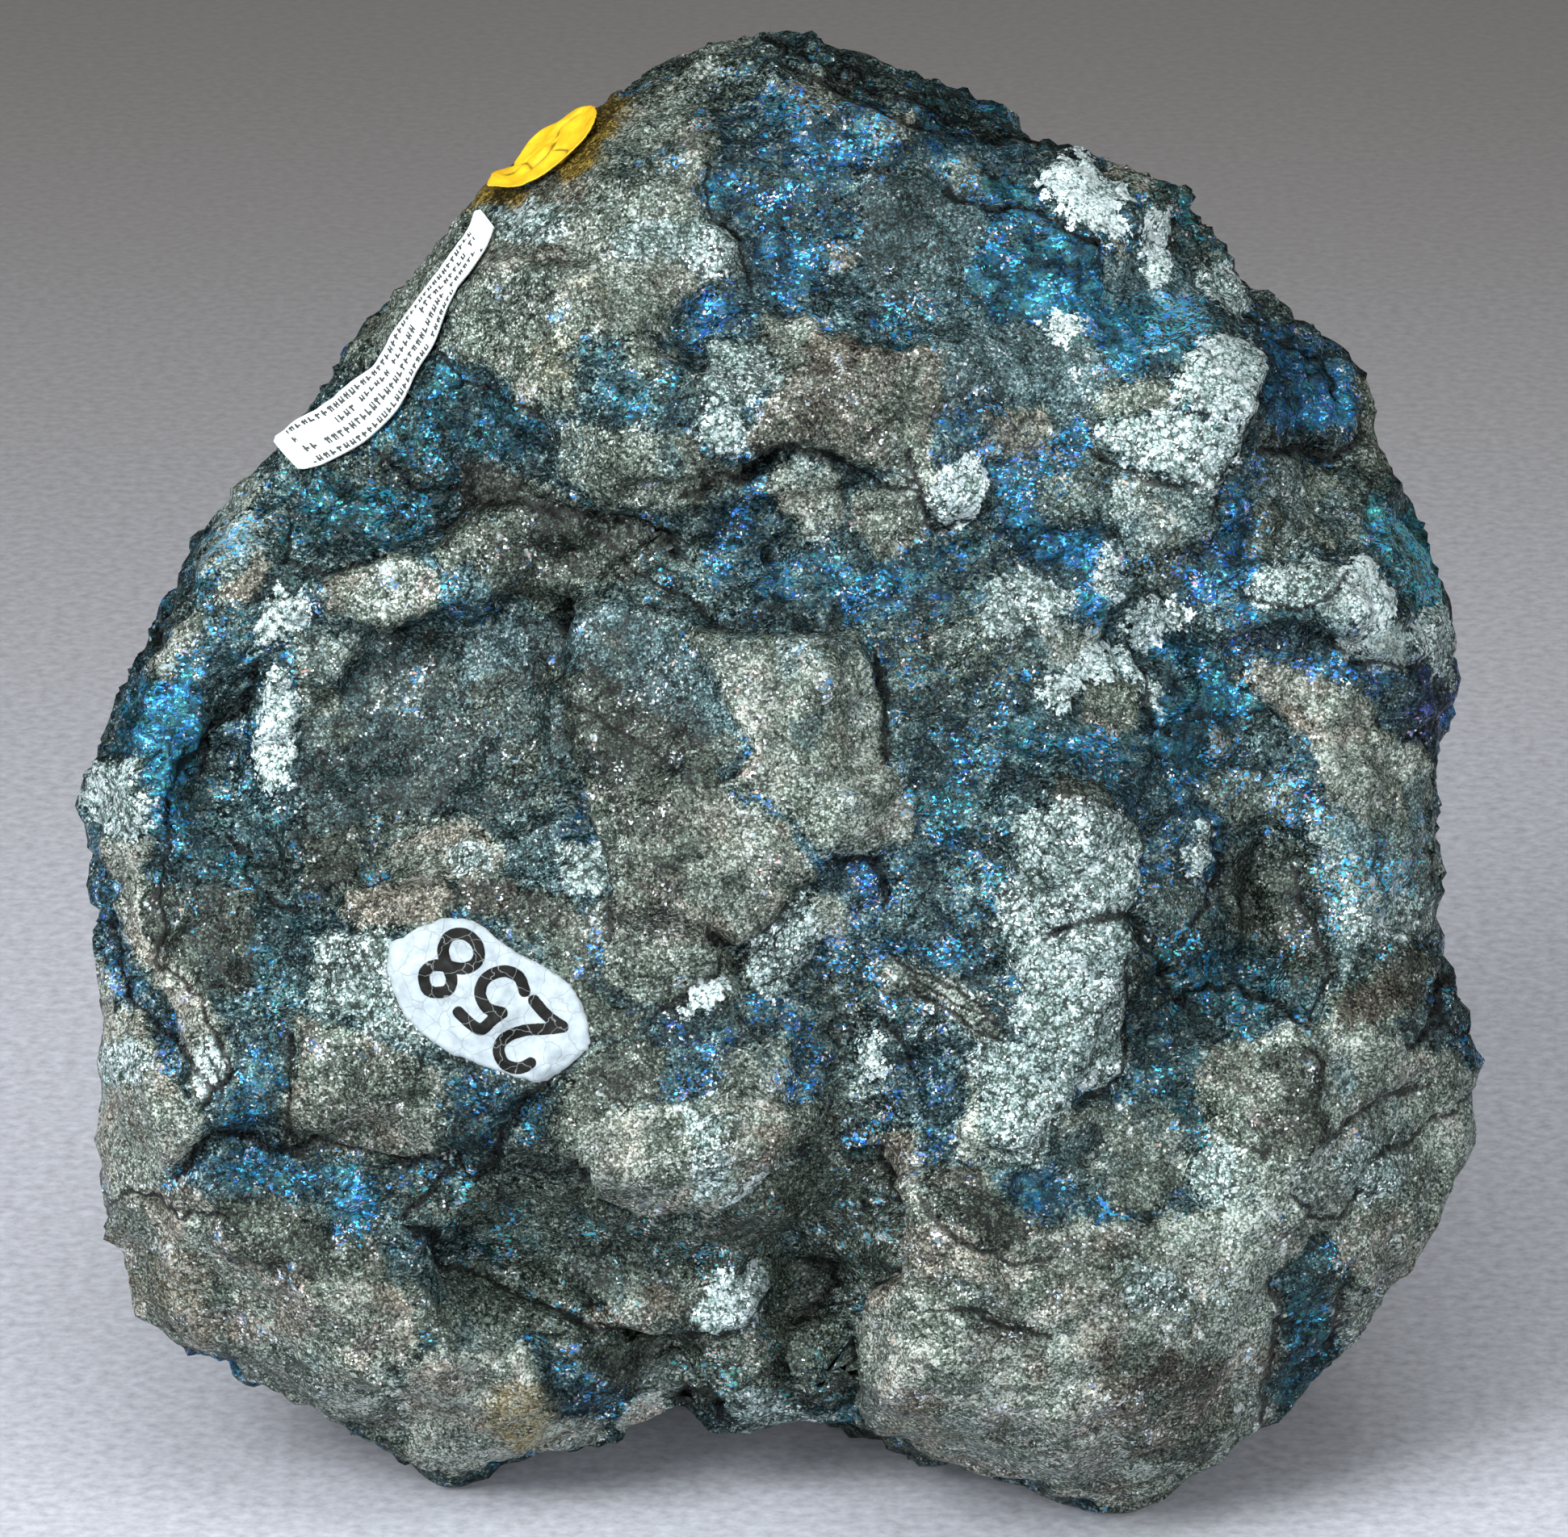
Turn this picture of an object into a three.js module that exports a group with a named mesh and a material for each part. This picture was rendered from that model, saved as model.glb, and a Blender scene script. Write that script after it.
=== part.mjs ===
// Peacock ore: one broken lump of granular copper sulphide ore that stands on three worn flats,
// with three small specimen labels stuck on it. Millimetres, +Z up, the broad face turned to -Y.
//
// The stone is drawn in the frame of its broad face: u runs to the right, v up the face and w out
// of it. The whole is then leaned back from upright and set down on its flats.

import * as THREE from "three";
import { mergeVertices } from "three/addons/utils/BufferGeometryUtils.js";

// Driving dimensions, mm and degrees.
const FACE_LEAN = THREE.MathUtils.degToRad(20); // the broad face leans back from upright
const MEAN_RADIUS = 43; // of the broad face
const FRONT = { depth: 15, sharpness: 3, fullness: 0.55 }; // the swell from the rim plane forwards
const BACK = { depth: 24, sharpness: 4.2, fullness: 0.48 }; // and backwards
const FLAT_LEVEL = -43.6; // height of the worn flats, from the middle of the face
const MESH_SPLITS = 20; // splits along each edge of the starting icosahedron
const FRONT_SHARE = 0.56; // share of the triangles that the front gets
const RING_COUNT = 400; // rings of equal area on each side, by which the triangles are spread
const RING_STEPS = 4000; // steps in which their area is summed up
const WIDE_BREAK = { size: 17, height: 3.4, seed: 5 }; // broken facets of the back and sides
const COARSE_BREAK = { size: 9, height: 1.6, seed: 11 }; // broken facets all over
const FINE_BREAK = { size: 4.6, height: 0.9, seed: 29 };
const FACET_TILT = 1.6; // steepest lean of a broken facet, as a share of its height over its size
const RIM_CALM = { share: 0.3, from: 1, to: 7 }; // facets near the rim plane keep this share of their height
const SEAT_CALM = { share: 0.12, flat: 0.8, fade: 5, squash: 0.6 }; // and those under a label this share
const BUMP_EDGE = { fade: 0.7, power: 1.4 }; // how a lump or hollow dies away
const LEDGE_SLOPE = 1.2; // half the width over which a ledge drops
const LEDGE_END = 2.5; // how far it runs on past its ends
const BODY_ONSET = 1.5; // how soon behind the rim the outline gives way to the smoother body
const FORM_ONSET = 1.7; // and how soon lumps, hollows and ledges reach their full rise
const RIM_INWARD = 0.7; // share by which facets at the rim cut in rather than stand out
const CUT_DEPTH = 0.9; // share of the rock beyond a clean break that it takes off
const WELD = 1e-5; // points nearer than this are one
const LABEL_GAP = 0.32; // between a label and the stone
const LABEL_THICKNESS = 0.3;
const LABEL_HEADROOM = 20; // height over a label's aim point from which its seat is felt for
const LABEL_FEELERS = [[0, 0], [0.5, 0], [-0.5, 0], [0, 0.5], [0, -0.5]]; // it lies on the highest of these

// Outline of the broad face, [u, v], clockwise from the peak.
const OUTLINE = [
  [1.2, 46.3], [3.8, 45.1], [5.8, 43.4], [8.5, 42.8], [11.9, 42.4], [14.2, 41.4], [17.3, 39.5],
  [19.3, 38.6], [23.6, 37.9], [26.0, 35.8], [27.4, 32.5], [29.4, 29.4], [30.9, 28.2], [33.0, 27.0],
  [34.0, 25.8], [37.2, 24.1], [37.9, 22.3], [37.1, 21.1], [37.8, 18.6], [39.4, 15.5], [41.9, 12.6],
  [42.5, 9.6], [43.2, 8.2], [42.5, 4.8], [41.9, 3.9], [42.2, 2.8], [41.6, 2.0], [40.2, 1.8],
  [41.2, -0.2], [40.8, -1.3], [41.0, -2.2], [40.3, -4.4], [41.2, -9.7], [42.1, -14.6], [43.5, -18.1],
  [43.2, -22.1], [42.3, -25.0], [40.8, -28.6], [40.2, -30.6], [39.2, -31.8], [37.4, -32.8],
  [37.5, -34.0], [34.6, -37.1], [33.9, -39.3], [30.2, -42.2], [27.8, -43.8], [23.6, -46.6],
  [21.4, -47.6], [19.1, -46.8], [13.9, -44.8], [9.9, -43.0], [5.9, -42.1], [4.1, -40.6],
  [1.6, -41.7], [-1.7, -41.1], [-5.5, -40.2], [-8.4, -41.5], [-9.1, -42.5], [-13.6, -42.9],
  [-17.6, -44.9], [-18.7, -46.0], [-21.4, -46.2], [-22.9, -43.8], [-26.5, -41.5], [-28.3, -40.0],
  [-30.8, -39.2], [-33.8, -37.1], [-37.5, -37.0], [-38.2, -36.6], [-39.5, -34.2], [-41.0, -31.2],
  [-42.0, -27.9], [-42.4, -24.6], [-43.4, -21.9], [-42.8, -18.4], [-41.8, -13.8], [-40.9, -10.6],
  [-41.2, -8.1], [-42.6, -5.2], [-43.5, -2.2], [-42.6, 0.2], [-40.6, 3.5], [-39.5, 6.9],
  [-38.2, 10.6], [-36.4, 13.8], [-33.9, 16.0], [-31.6, 17.8], [-30.1, 20.5], [-27.9, 23.6],
  [-25.4, 26.5], [-22.9, 28.5], [-21.4, 30.9], [-20.2, 32.8], [-17.9, 35.6], [-15.4, 37.9],
  [-12.4, 41.1], [-10.7, 42.3], [-7.0, 42.1], [-5.3, 43.5], [-1.9, 45.6],
];

const BODY_TURNS = [-16, -12, -8, -4, 0, 4, 8, 12, 16]; // degrees over which the body evens the outline out

// How far the rim stands out of the face's plane, at bearings in degrees from +u towards +v.
const RIM_LIFT = [
  [-180, 1], [-150, 1.5], [-125, -3.5], [-112, -4], [-92, -1], [-66, 0], [-30, 1.5],
  [10, 0], [45, -1.5], [85, -1], [115, 0.5], [140, 1], [180, 1],
];

// Lumps and hollows: place [u, v], half sizes [along, across], turn in degrees, and rise in mm.
const FRONT_FORMS = {
  crest: { at: [2, 39.5], size: [12, 5], turn: 0, rise: 2 },
  upperLeftKnob: { at: [-9, 33.5], size: [8, 6.5], turn: 35, rise: 3 },
  leftShoulder: { at: [-15, 26], size: [8, 6], turn: 50, rise: 2.2 },
  brow: { at: [-1, 22], size: [9, 4.5], turn: 5, rise: 2.8 },
  browRight: { at: [8.5, 22], size: [7, 4], turn: 0, rise: 1.2 },
  upperRightLump: { at: [19, 35], size: [4.5, 4], turn: 0, rise: 2.2 },
  rightShoulder: { at: [24.5, 21], size: [6, 5.5], turn: 30, rise: 3 },
  whiteKnob: { at: [11.2, 17], size: [2.6, 2], turn: 50, rise: 1.2 },
  leftRim: { at: [-38, 6], size: [13, 3.5], turn: 72, rise: 3.4 },
  leftKnob: { at: [-40, -2.5], size: [3.5, 3], turn: 0, rise: 2 },
  lowerLeftRim: { at: [-38, -21], size: [7, 4.5], turn: 80, rise: 3.4 },
  hollowLip: { at: [-26, 11], size: [8, 2], turn: 10, rise: 2.4 },
  slabTop: { at: [2, 2], size: [7.5, 6], turn: -60, rise: 2.6 },
  slabFoot: { at: [-4.5, -8], size: [7, 5.5], turn: -70, rise: 2.6 },
  bowlKnob: { at: [-18, -5], size: [4.5, 2.6], turn: 20, rise: 1.4 },
  labelBlock: { at: [-18.5, -15], size: [9, 6], turn: -20, rise: 2.4 },
  middleLump: { at: [-5.5, -23], size: [7.5, 4.5], turn: 10, rise: 3.6 },
  lowerLeftLobe: { at: [-30, -33], size: [9.5, 6.5], turn: -35, rise: 4 },
  leftFoot: { at: [-19.5, -40], size: [9, 4.5], turn: 5, rise: 4 },
  recessPebble: { at: [-3, -33.5], size: [3.2, 1.6], turn: 45, rise: 2.2 },
  recessChip: { at: [-8.5, -33.8], size: [3.5, 1.6], turn: 0, rise: 1.8 },
  lowerRightLobe: { at: [14.5, -35], size: [11, 8], turn: 0, rise: 4.6 },
  rightFoot: { at: [22, -41], size: [7, 4], turn: 0, rise: 3 },
  column: { at: [17.5, -8], size: [9, 4.5], turn: 85, rise: 2.6 },
  brightStep: { at: [15.2, -20], size: [4, 3.5], turn: 0, rise: 2.6 },
  rightBulge: { at: [36, -22], size: [8, 6], turn: 80, rise: 3.2 },
  rightCheek: { at: [36.5, 8.5], size: [6, 5], turn: -30, rise: 2.8 },
  rightRidge: { at: [36, -2], size: [5, 4], turn: 70, rise: 1.8 },
  rightOval: { at: [32, 10.5], size: [4, 2], turn: 10, rise: 1 },
  rightPlane: { at: [32, 19], size: [6.5, 5], turn: -50, rise: -2.6 },
  upperHollow: { at: [-26, 15.5], size: [6, 3.4], turn: 10, rise: -3 },
  bowl: { at: [-22, 2], size: [9.5, 7], turn: 20, rise: -4.6 },
  bowlCrevice: { at: [-33.5, 1.5], size: [4.5, 1.6], turn: 72, rise: -3.2 },
  wedge: { at: [-9, 4.5], size: [5, 3], turn: -50, rise: -1.4 },
  darkPit: { at: [-2.3, -11.5], size: [2, 1.4], turn: 0, rise: -1.8 },
  middleHollow: { at: [-2, -16], size: [7, 3.2], turn: 0, rise: -1.8 },
  recess: { at: [-8, -31], size: [12, 5], turn: -8, rise: -5.4 },
  recessChannel: { at: [3, -33], size: [8, 2.8], turn: 85, rise: -5.2 },
  glassyHollow: { at: [30, -8.5], size: [5, 4], turn: 70, rise: -4.4 },
  rightNotch: { at: [36, 2], size: [5, 1.2], turn: -15, rise: -2 },
  underShoulder: { at: [24.5, 6], size: [5, 2.6], turn: -10, rise: -2.2 },
  blueHollow: { at: [9.5, 1.5], size: [5, 3.5], turn: 80, rise: -1.6 },
  lowerRightPit: { at: [32.3, -36], size: [5.5, 2.4], turn: 75, rise: -2.4 },
  leftCrevice: { at: [-37, -16], size: [6, 1.3], turn: 95, rise: -3.2 },
  blueTrough: { at: [-30, -24.5], size: [8, 2.4], turn: -5, rise: -2.4 },
};

const BACK_FORMS = {
  heel: { at: [2, -36], size: [9, 7], turn: 0, rise: 9 },
  leftHeel: { at: [-20, -40], size: [5, 5], turn: 0, rise: 4.5 },
  rightArch: { at: [13, -42], size: [5, 5], turn: 0, rise: -3.5 },
  leftArch: { at: [-11, -40], size: [4, 5], turn: 0, rise: -3 },
  spine: { at: [6, 8], size: [22, 9], turn: 70, rise: 3 },
  leftHip: { at: [-24, -12], size: [12, 9], turn: 50, rise: 2.5 },
  upperScoop: { at: [-14, 22], size: [12, 8], turn: -40, rise: -5 },
  rightScoop: { at: [27, -4], size: [10, 8], turn: 60, rise: -4.5 },
  crownKnob: { at: [10, 33], size: [8, 6], turn: 15, rise: 2.5 },
  lowerLeftScoop: { at: [-22, -33], size: [9, 6], turn: 25, rise: -4 },
  sideKnob: { at: [33, 14], size: [6, 5], turn: 0, rise: 2.5 },
  middleHollow: { at: [-4, -6], size: [9, 6], turn: -20, rise: -3 },
};

// Ledges: the side to the left of the path, as walked, stands up by rise and fades over reach.
const FRONT_LEDGES = {
  bowlWall: { rise: 2.6, reach: 12, path: [[-12.2, 9], [-13.1, 5], [-12.5, 1], [-11, -4], [-9.8, -8]] },
  browUndercut: { rise: 2.4, reach: 7, path: [[-9, 16.3], [-3, 17], [-1, 17.8], [1.5, 19]] },
  shoulderUndercut: { rise: 1.8, reach: 6, path: [[-16, 16.5], [-13, 15.2], [-8.5, 13.8], [-5.5, 12.8]] },
  slabFootEdge: { rise: 1.8, reach: 6, path: [[-3.5, -11.8], [-2.5, -12], [0, -10.3], [2, -7.8]] },
  slabHead: { rise: 1.6, reach: 6, path: [[6, 5.5], [2, 7.3], [-4, 7.6]] },
  labelShelf: {
    rise: 2,
    reach: 7,
    path: [
      [-36, -24.8], [-33.5, -22.8], [-30, -23.5], [-27, -23], [-23.5, -24.2], [-18.5, -23.8], [-13, -18.8],
    ],
  },
  middleLumpEdge: {
    rise: 3,
    reach: 8,
    path: [[-13.5, -22.8], [-11, -25.8], [-8.5, -27.8], [-3, -27.2], [-0.5, -25.2], [2, -22.8]],
  },
  lobeWall: { rise: 4, reach: 12, path: [[7.8, -26.8], [7.5, -30.8], [6, -31.3], [4.5, -34], [5, -39.8]] },
  columnWall: {
    rise: 2.4,
    reach: 8,
    path: [[19.2, -17.2], [20.5, -12.8], [22, -11.2], [21.2, -9.8], [22, -3]],
  },
  shoulderWall: { rise: 2.8, reach: 8, path: [[27, 16.2], [28, 19.2], [29.5, 22.2], [29.2, 25.8]] },
  rightShelf: { rise: 1.8, reach: 4, path: [[28, 7.2], [33, 7.8], [37, 5.8]] },
  rightStep: { rise: 1.6, reach: 5, path: [[33.5, -23], [37, -20.2], [39, -18.8], [42, -13.5]] },
};

// Clean breaks that trim the stone: the bearing and tilt of each plane's facing, in degrees from +u
// and from straight back (or straight out, in front), and its distance from the middle.
const BACK_CUTS = [
  { bearing: 8, tilt: 52, distance: 37.5 },
  { bearing: 52, tilt: 58, distance: 40 },
  { bearing: 96, tilt: 50, distance: 37 },
  { bearing: 140, tilt: 60, distance: 37.5 },
  { bearing: 178, tilt: 46, distance: 36 },
  { bearing: 218, tilt: 58, distance: 43 },
  { bearing: 322, tilt: 56, distance: 44 },
  { bearing: 70, tilt: 24, distance: 29.5 },
  { bearing: 200, tilt: 20, distance: 27 },
];
const FRONT_CUTS = [
  { bearing: 72, tilt: 56, distance: 37.5 },
  { bearing: 35, tilt: 50, distance: 35.5 },
  { bearing: 184, tilt: 54, distance: 38 },
  { bearing: -18, tilt: 48, distance: 37 },
];

const BACK_LEDGES = {
  mainBreak: { rise: 3.4, reach: 12, path: [[-30, 14], [-16, 8], [-6, 10], [4, 2], [8, -12], [6, -24]] },
  upperBreak: { rise: 2.6, reach: 9, path: [[22, 22], [12, 18], [2, 24], [-6, 34]] },
  lowerBreak: { rise: 2.4, reach: 8, path: [[-34, -18], [-24, -22], [-12, -20], [-4, -26]] },
  rightBreak: { rise: 2.4, reach: 8, path: [[18, -34], [22, -22], [32, -14], [38, -4]] },
};

// Labels: an aim point near the stone, the way each faces and the way its length runs, in the face's
// frame. A bow is how far the middle of a label's length lies out of the straight line of its ends,
// and rings, stations and points are how finely its mesh follows the stone.
const NUMBER_LABEL = {
  aim: [-17.3, -14.6, 14],
  facing: [0, 0, 1],
  along: [1, 0, 0],
  length: 12.3,
  bow: 0,
  rings: 5,
  outline: [
    [-6.0, 3.7], [-5.1, 4.1], [-3.7, 4.9], [-1.9, 5.2], [-0.4, 4.7], [0.9, 3.6], [2.9, 2.5], [4.2, 1.7],
    [5.2, 0.8], [5.8, -0.4], [6.1, -1.9], [5.9, -2.7], [4.8, -3.7], [3.8, -4.5], [2.8, -4.7], [0.8, -4.1],
    [-0.9, -3.5], [-2.5, -2.9], [-4.1, -1.7], [-5.4, -0.2], [-5.9, 1.2], [-6.2, 2.4],
  ],
};
const STRIP_LABEL = {
  aim: [-23.3, 25.7, 5.6],
  facing: [-0.73, 0.6, 0.33],
  along: [0.57, 0.84, 0.16],
  length: 19.2,
  width: 3.8,
  bow: -3.1,
  rings: 4,
  stations: 9,
};
const YELLOW_LABEL = {
  aim: [-14.3, 38.1, 5],
  facing: [-0.64, 0.7, 0.31],
  along: [0.86, 0.5, 0],
  length: 7.4,
  width: 6.4,
  bow: 0,
  rings: 3,
  points: 18,
};

const ORE = { color: 0x58696a, roughness: 0.45, metalness: 0.7 };
const LABEL_WHITE = { color: 0xe2ebee, roughness: 0.6, metalness: 0 };
const LABEL_YELLOW = { color: 0xe6c832, roughness: 0.55, metalness: 0 };

// Large odd numbers that scatter small whole numbers over 32 bits.
const SCATTER = [374761393, 668265263, 2147483647, 1274126177];
const STIR = [1103515245, 2246822519];

const { degToRad, radToDeg, smoothstep, lerp } = THREE.MathUtils;

// A repeatable number from 0 to 1 for a whole-number place and a seed.
function chance(...places) {
  let bits = places.reduce((sum, place, index) => sum + Math.imul(place, SCATTER[index]), 0);
  bits = Math.imul(bits ^ (bits >>> 13), STIR[0]);
  bits = Math.imul(bits ^ (bits >>> 15), STIR[1]);
  return ((bits ^ (bits >>> 16)) >>> 0) / 2 ** 32;
}

// Height of rock broken into small flat facets: each cell has its own level and tilt.
function brokenFacets(point, { size, height, seed }) {
  const place = point.clone().divideScalar(size);
  const home = place.clone().floor();
  let nearest = Infinity;
  let level = 0;
  for (let step = 0; step < 27; step += 1) {
    const i = home.x + (step % 3) - 1;
    const j = home.y + (Math.floor(step / 3) % 3) - 1;
    const k = home.z + Math.floor(step / 9) - 1;
    const offset = new THREE.Vector3(
      place.x - i - chance(i, j, k, seed),
      place.y - j - chance(i, j, k, seed + 1),
      place.z - k - chance(i, j, k, seed + 2),
    );
    const distance = offset.lengthSq();
    if (distance < nearest) {
      nearest = distance;
      const tilt = new THREE.Vector3(
        chance(i, j, k, seed + 3) - 0.5,
        chance(i, j, k, seed + 4) - 0.5,
        chance(i, j, k, seed + 5) - 0.5,
      );
      level = chance(i, j, k, seed + 6) - 0.5 + FACET_TILT * tilt.dot(offset);
    }
  }
  return level * height;
}

// Distance from the middle of the face to its outline, at a bearing in radians.
function rimRadius(bearing) {
  const ray = new THREE.Vector2(Math.cos(bearing), Math.sin(bearing));
  let farthest = 0;
  OUTLINE.forEach((start, index) => {
    const end = OUTLINE[(index + 1) % OUTLINE.length];
    const edge = new THREE.Vector2(end[0] - start[0], end[1] - start[1]);
    const from = new THREE.Vector2(start[0], start[1]);
    const turn = ray.cross(edge);
    const along = from.cross(edge) / turn;
    const share = from.cross(ray) / turn;
    if (along > 0 && share >= 0 && share <= 1) {
      farthest = Math.max(farthest, along);
    }
  });
  return farthest;
}

// The same, evened out over the neighbouring bearings: the body behind the rim is smoother than it.
function bodyRadius(bearing) {
  const sum = BODY_TURNS.reduce((total, turn) => total + rimRadius(bearing + degToRad(turn)), 0);
  return sum / BODY_TURNS.length;
}

// Height of the plain swell at a share of the way from the middle to the rim.
function swellAt(spread, { sharpness, fullness }) {
  return (1 - Math.min(1, spread) ** sharpness) ** fullness;
}

// Places from the middle to the rim that part the swell's surface into rings of equal area.
function evenRings(side) {
  const areas = [0];
  const spreads = [0];
  for (let i = 1; i <= RING_STEPS; i += 1) {
    const spread = 1 - (1 - i / RING_STEPS) ** 3;
    const run = (spread - spreads[i - 1]) * MEAN_RADIUS;
    const fall = (swellAt(spreads[i - 1], side) - swellAt(spread, side)) * side.depth;
    areas.push(areas[i - 1] + Math.hypot(run, fall) * (spread + spreads[i - 1]));
    spreads.push(spread);
  }
  const rings = [];
  let i = 0;
  for (let ring = 0; ring <= RING_COUNT; ring += 1) {
    const wanted = (areas[RING_STEPS] * ring) / RING_COUNT;
    while (i < RING_STEPS - 1 && areas[i + 1] < wanted) {
      i += 1;
    }
    rings.push(lerp(spreads[i], spreads[i + 1], (wanted - areas[i]) / (areas[i + 1] - areas[i])));
  }
  return rings;
}

// The place between the middle and the rim that leaves this share of the side's area inside it.
function ringSpread(rings, share) {
  const place = Math.min(share, 1) * RING_COUNT;
  const ring = Math.min(Math.floor(place), RING_COUNT - 1);
  // The first ring is a disc, so its places grow with the square root of its area.
  return ring === 0 ? rings[1] * Math.sqrt(place) : lerp(rings[ring], rings[ring + 1], place - ring);
}

function rimLift(bearing) {
  const degrees = radToDeg(bearing);
  const after = Math.max(1, RIM_LIFT.findIndex(([angle]) => angle >= degrees));
  const [fromAngle, fromLift] = RIM_LIFT[after - 1];
  const [toAngle, toLift] = RIM_LIFT[after];
  return lerp(fromLift, toLift, smoothstep(degrees, fromAngle, toAngle));
}

// A rounded lump or hollow: 1 in the middle, fading out at about twice its half sizes.
function bump(u, v, { at, size, turn }) {
  const angle = degToRad(turn);
  const du = u - at[0];
  const dv = v - at[1];
  const along = (du * Math.cos(angle) + dv * Math.sin(angle)) / size[0];
  const across = (dv * Math.cos(angle) - du * Math.sin(angle)) / size[1];
  return Math.exp(-BUMP_EDGE.fade * (along * along + across * across) ** BUMP_EDGE.power);
}

// The raised side of a ledge: 1 at the path's left edge, fading away from it and past its ends.
function ledge(u, v, { path, reach }) {
  let nearest = Infinity;
  let raised = 0;
  for (let i = 0; i < path.length - 1; i += 1) {
    const [u0, v0] = path[i];
    const [u1, v1] = path[i + 1];
    const length = Math.hypot(u1 - u0, v1 - v0);
    const along = ((u - u0) * (u1 - u0) + (v - v0) * (v1 - v0)) / length;
    const side = ((u1 - u0) * (v - v0) - (v1 - v0) * (u - u0)) / length;
    const past = Math.max(0, -along, along - length);
    const distance = Math.hypot(side, past);
    if (distance < nearest) {
      nearest = distance;
      const fade = Math.abs(side) / reach + (past / LEDGE_END) ** 2;
      raised = smoothstep(side, -LEDGE_SLOPE, LEDGE_SLOPE) * Math.exp(-fade);
    }
  }
  return raised;
}

function relief(u, v, forms, ledges) {
  let height = 0;
  for (const form of Object.values(forms)) {
    height += form.rise * bump(u, v, form);
  }
  for (const step of Object.values(ledges)) {
    height += step.rise * ledge(u, v, step);
  }
  return height;
}

// 1 on broken rock, and little where a label needs a smooth seat.
function roughness(u, v, w) {
  let rough = 1;
  for (const { aim, length } of [NUMBER_LABEL, STRIP_LABEL, YELLOW_LABEL]) {
    const distance = Math.hypot(u - aim[0], v - aim[1], (w - aim[2]) * SEAT_CALM.squash);
    const seat = (length / 2) * SEAT_CALM.flat;
    rough = Math.min(rough, smoothstep(distance, seat, seat + SEAT_CALM.fade));
  }
  return lerp(SEAT_CALM.share, 1, rough);
}

const FRONT_SIDE = {
  ...FRONT,
  way: 1,
  share: FRONT_SHARE,
  rings: evenRings(FRONT),
  forms: FRONT_FORMS,
  ledges: FRONT_LEDGES,
  cuts: FRONT_CUTS,
  breaks: [COARSE_BREAK, FINE_BREAK],
};
const BACK_SIDE = {
  ...BACK,
  way: -1,
  share: 1 - FRONT_SHARE,
  rings: evenRings(BACK),
  forms: BACK_FORMS,
  ledges: BACK_LEDGES,
  cuts: BACK_CUTS,
  breaks: [WIDE_BREAK, COARSE_BREAK, FINE_BREAK],
};

// The stone's surface in the direction of a point of the unit sphere, whose +z is the face's front.
function stonePoint(direction) {
  const turned = (1 - direction.z) / 2;
  const side = turned < FRONT_SHARE ? FRONT_SIDE : BACK_SIDE;
  const fromPole = side === FRONT_SIDE ? turned : 1 - turned;
  const spread = ringSpread(side.rings, fromPole / side.share);
  const bearing = Math.atan2(direction.y, direction.x);
  const swell = swellAt(spread, side);
  const reach = spread * lerp(rimRadius(bearing), bodyRadius(bearing), Math.min(1, BODY_ONSET * swell));
  const u = reach * Math.cos(bearing);
  const v = reach * Math.sin(bearing);
  const forms = relief(u, v, side.forms, side.ledges) * Math.min(1, FORM_ONSET * swell);
  const w = rimLift(bearing) * spread ** 3 + side.way * (side.depth * swell + forms);
  const point = new THREE.Vector3(u, v, w);
  const breaks = side.breaks.reduce((sum, size) => sum + brokenFacets(point, size), 0);
  trim(point, side);
  // Facets stand along the way out, and near the rim they mostly cut in, so the outline stays.
  const rimward = spread ** 4;
  const outward = new THREE.Vector3(Math.cos(bearing), Math.sin(bearing), 0).multiplyScalar(rimward);
  outward.z = side.way * (1 - rimward);
  const clearOfRim = lerp(RIM_CALM.share, 1, smoothstep(Math.abs(w), RIM_CALM.from, RIM_CALM.to));
  const height = breaks - RIM_INWARD * rimward * Math.abs(breaks);
  return point.addScaledVector(outward.normalize(), height * roughness(u, v, w) * clearOfRim);
}

function trim(point, { cuts, way }) {
  for (const { bearing, tilt, distance } of cuts) {
    const lean = Math.sin(degToRad(tilt));
    const facing = new THREE.Vector3(
      Math.cos(degToRad(bearing)) * lean,
      Math.sin(degToRad(bearing)) * lean,
      way * Math.cos(degToRad(tilt)),
    );
    const beyond = Math.max(0, point.dot(facing) - distance);
    point.addScaledVector(facing, -CUT_DEPTH * beyond);
  }
}

// Wears the lowest points down to one level, straight along the upright of the leaned stone.
function wearFlat(point) {
  const height = point.y * Math.cos(FACE_LEAN) + point.z * Math.sin(FACE_LEAN);
  const worn = Math.max(0, FLAT_LEVEL - height);
  point.y += worn * Math.cos(FACE_LEAN);
  point.z += worn * Math.sin(FACE_LEAN);
  return point;
}

function bareGeometry(source) {
  const geometry = source.clone();
  geometry.deleteAttribute("normal");
  geometry.deleteAttribute("uv");
  return mergeVertices(geometry, WELD);
}

function makeOreGeometry() {
  const geometry = bareGeometry(new THREE.IcosahedronGeometry(1, MESH_SPLITS));
  const positions = geometry.attributes.position;
  const point = new THREE.Vector3();
  for (let i = 0; i < positions.count; i += 1) {
    point.fromBufferAttribute(positions, i).normalize();
    positions.setXYZ(i, ...wearFlat(stonePoint(point)).toArray());
  }
  geometry.computeVertexNormals();
  return geometry;
}

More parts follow.
